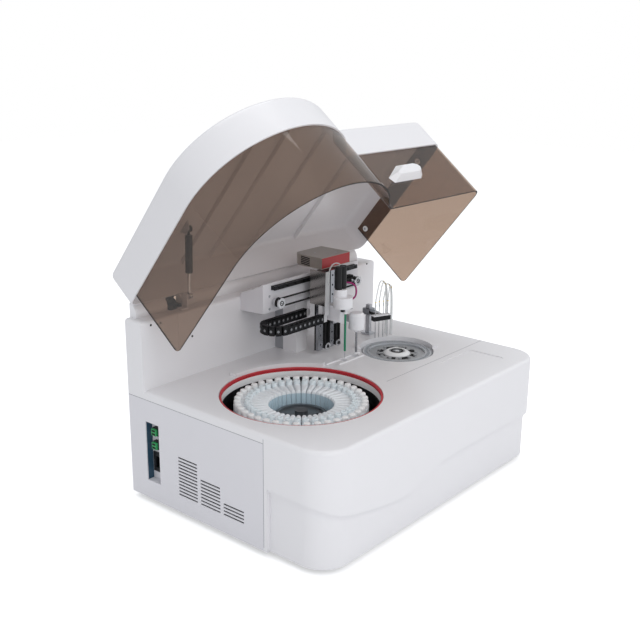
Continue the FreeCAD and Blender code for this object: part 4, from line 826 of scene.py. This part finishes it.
ventSlotShades = merge(*[ventSlotShade(k) for k in range(coverVentShade["count"])])
build("coverVentShade", ventSlotShades, "holeShade", "carriage", smooth=False)
coverScrews = {"places": [(84, 132, 419.0), (118, 104, 419.0)], "radius": 2.4, "height": 0.9}
screwShape = screwHeads(coverScrews["places"], "Z", coverScrews["radius"], coverScrews["height"])
build("coverScrews", screwShape, "screwSteel", "carriage", recalc=True)

# Two small black sensor blocks under the probe head
sensorRows = [[23.5, 30.5, 6.5, 12.5, 327.5, 333.0], [47.0, 53.0, 5.5, 10.5, 329.0, 333.0]]
build("sensorBlocks", boxes(sensorRows), "blackPlastic", "probe", smooth=False, bevel=0.4)

# Two data ports in the side window, each with two openings drawn as dark boxes of painted shade
dataPorts = {"z": (119.0, 146.0), "shellX": (-342, -331), "shellY": (149.5, 162.5), "shellHalf": 6.5,
             "holeX": (-342.3, -336), "holeY": (151.5, 160.5), "holeHalf": 1.8, "holeOff": (-3.2, 3.2)}
shellHalf, holeHalf = dataPorts["shellHalf"], dataPorts["holeHalf"]
shellRows = [[*dataPorts["shellX"], *dataPorts["shellY"], z - shellHalf, z + shellHalf]
             for z in dataPorts["z"]]
build("dataPortShells", boxes(shellRows), "portGreen", "root", smooth=False, bevel=0.6)
holeShadeRows = [[*dataPorts["holeX"], *dataPorts["holeY"], z + off - holeHalf, z + off + holeHalf]
            for z in dataPorts["z"] for off in dataPorts["holeOff"]]
build("dataPortHoleShade", boxes(holeShadeRows), "holeShade", "root", smooth=False)

# Hairline seams, drawn as thin shadow gaps over the joints of the covers
seams = {"sideX": [(-345.15, -344.8), (344.8, 345.15)], "level": [-126.5, 219, 207.6, 208.4],
         "upright": [-126.9, -126.1, 17, 216], "deck": [-5.8, 337, -126.9, -126.1, 223.3, 223.62]}
sideRows = [[*x, *span] for x in seams["sideX"] for span in (seams["level"], seams["upright"])]
build("sideSeam", boxes(sideRows), "seamShade", "root", smooth=False)
build("deckSeam", boxes([seams["deck"]]), "seamShade", "root", smooth=False)
print("small pieces")


# Stage: pale floor, soft lamps, and the photograph's camera
stage = {"half": 6.0, "colour": "F7F7F8", "cameraLift": 0.42, "softColour": (0.96, 0.98, 1.0, 1),
         "softStrength": 0.68, "aim": (0, 0, 0.25)}
lamps = {"key": {"place": (-0.6, -2.2, 2.4), "size": 1.6, "power": 13.0},
         "fill": {"place": (2.4, -1.2, 1.6), "size": 1.8, "power": 7.0},
         "top": {"place": (0.2, 0.6, 2.8), "size": 1.8, "power": 17.0},
         "under": {"place": (-1.3, -1.7, 0.95), "size": 1.2, "power": 5.0}}
shot = {"place": (-1.3792, -1.1197, 0.8451), "forward": (0.7324, 0.6187, -0.2844),
        "up": (0.2111, 0.1909, 0.9586), "focalPixels": 947.93, "widthPixels": 640, "sensor": 36.0,
        "near": 0.05}


def paleStage(name, colour):
    # a matt floor that the camera sees lifted towards white, while its bounce on the object stays plain
    material, tree = newTree(name)
    matte = addNode(tree, "ShaderNodeBsdfDiffuse", {"Color": linear(colour)})
    seen = addNode(tree, "ShaderNodeLightPath")
    lift = addNode(tree, "ShaderNodeMath", {"operation": "MULTIPLY", 1: stage["cameraLift"]},
                   {0: (seen, "Is Camera Ray")})
    glow = addNode(tree, "ShaderNodeEmission", {"Color": (1, 1, 1, 1)}, {"Strength": (lift, "Value")})
    both = addNode(tree, "ShaderNodeAddShader", None, {0: (matte, "BSDF"), 1: (glow, "Emission")})
    addNode(tree, "ShaderNodeOutputMaterial", None, {"Surface": (both, "Shader")})
    return material


half = stage["half"]
floorMesh = bpy.data.meshes.new("floor")
floorCorners = [(-half, -half, 0), (half, -half, 0), (half, half, 0), (-half, half, 0)]
floorMesh.from_pydata(floorCorners, [], [(0, 1, 2, 3)])
floorMesh.materials.append(paleStage("paleFloor", stage["colour"]))
floor = bpy.data.objects.new("floor", floorMesh)
bpy.context.scene.collection.objects.link(floor)

# The camera and clear pieces see plain white, and everything else is lit by a slightly cool, dimmer sky
world = bpy.data.worlds.new("studio")
bpy.context.scene.world = world
world.use_nodes = True
sky = world.node_tree
sky.nodes.clear()
lightPath = addNode(sky, "ShaderNodeLightPath")
direct = addNode(sky, "ShaderNodeMath", {"operation": "MAXIMUM"},
                 {0: (lightPath, "Is Camera Ray"), 1: (lightPath, "Is Transmission Ray")})
soft = addNode(sky, "ShaderNodeBackground", {"Color": stage["softColour"], "Strength": stage["softStrength"]})
white = addNode(sky, "ShaderNodeBackground", {"Color": (1, 1, 1, 1), "Strength": 1.0})
choice = addNode(sky, "ShaderNodeMixShader", None,
                 {0: (direct, "Value"), 1: (soft, "Background"), 2: (white, "Background")})
addNode(sky, "ShaderNodeOutputWorld", None, {"Surface": (choice, "Shader")})

for name, lamp in lamps.items():
    light = bpy.data.lights.new(name, "AREA")
    light.size = lamp["size"]
    light.energy = lamp["power"]
    lampObject = bpy.data.objects.new(name, light)
    lampObject.location = lamp["place"]
    towards = Vector(stage["aim"]) - Vector(lamp["place"])
    lampObject.rotation_euler = towards.to_track_quat("-Z", "Y").to_euler()
    bpy.context.scene.collection.objects.link(lampObject)

cameraData = bpy.data.cameras.new("camera")
cameraData.sensor_width = shot["sensor"]
cameraData.lens = shot["focalPixels"] * shot["sensor"] / shot["widthPixels"]
cameraData.clip_start = shot["near"]
camera = bpy.data.objects.new("camera", cameraData)
forward = Vector(shot["forward"]).normalized()
right = forward.cross(Vector(shot["up"])).normalized()
upward = right.cross(forward)
turned = Matrix([right, upward, -forward]).transposed().to_4x4()
camera.matrix_world = Matrix.Translation(shot["place"]) @ turned
bpy.context.scene.collection.objects.link(camera)
bpy.context.scene.camera = camera
bpy.context.scene.view_settings.view_transform = "Standard"
print("stage and camera")
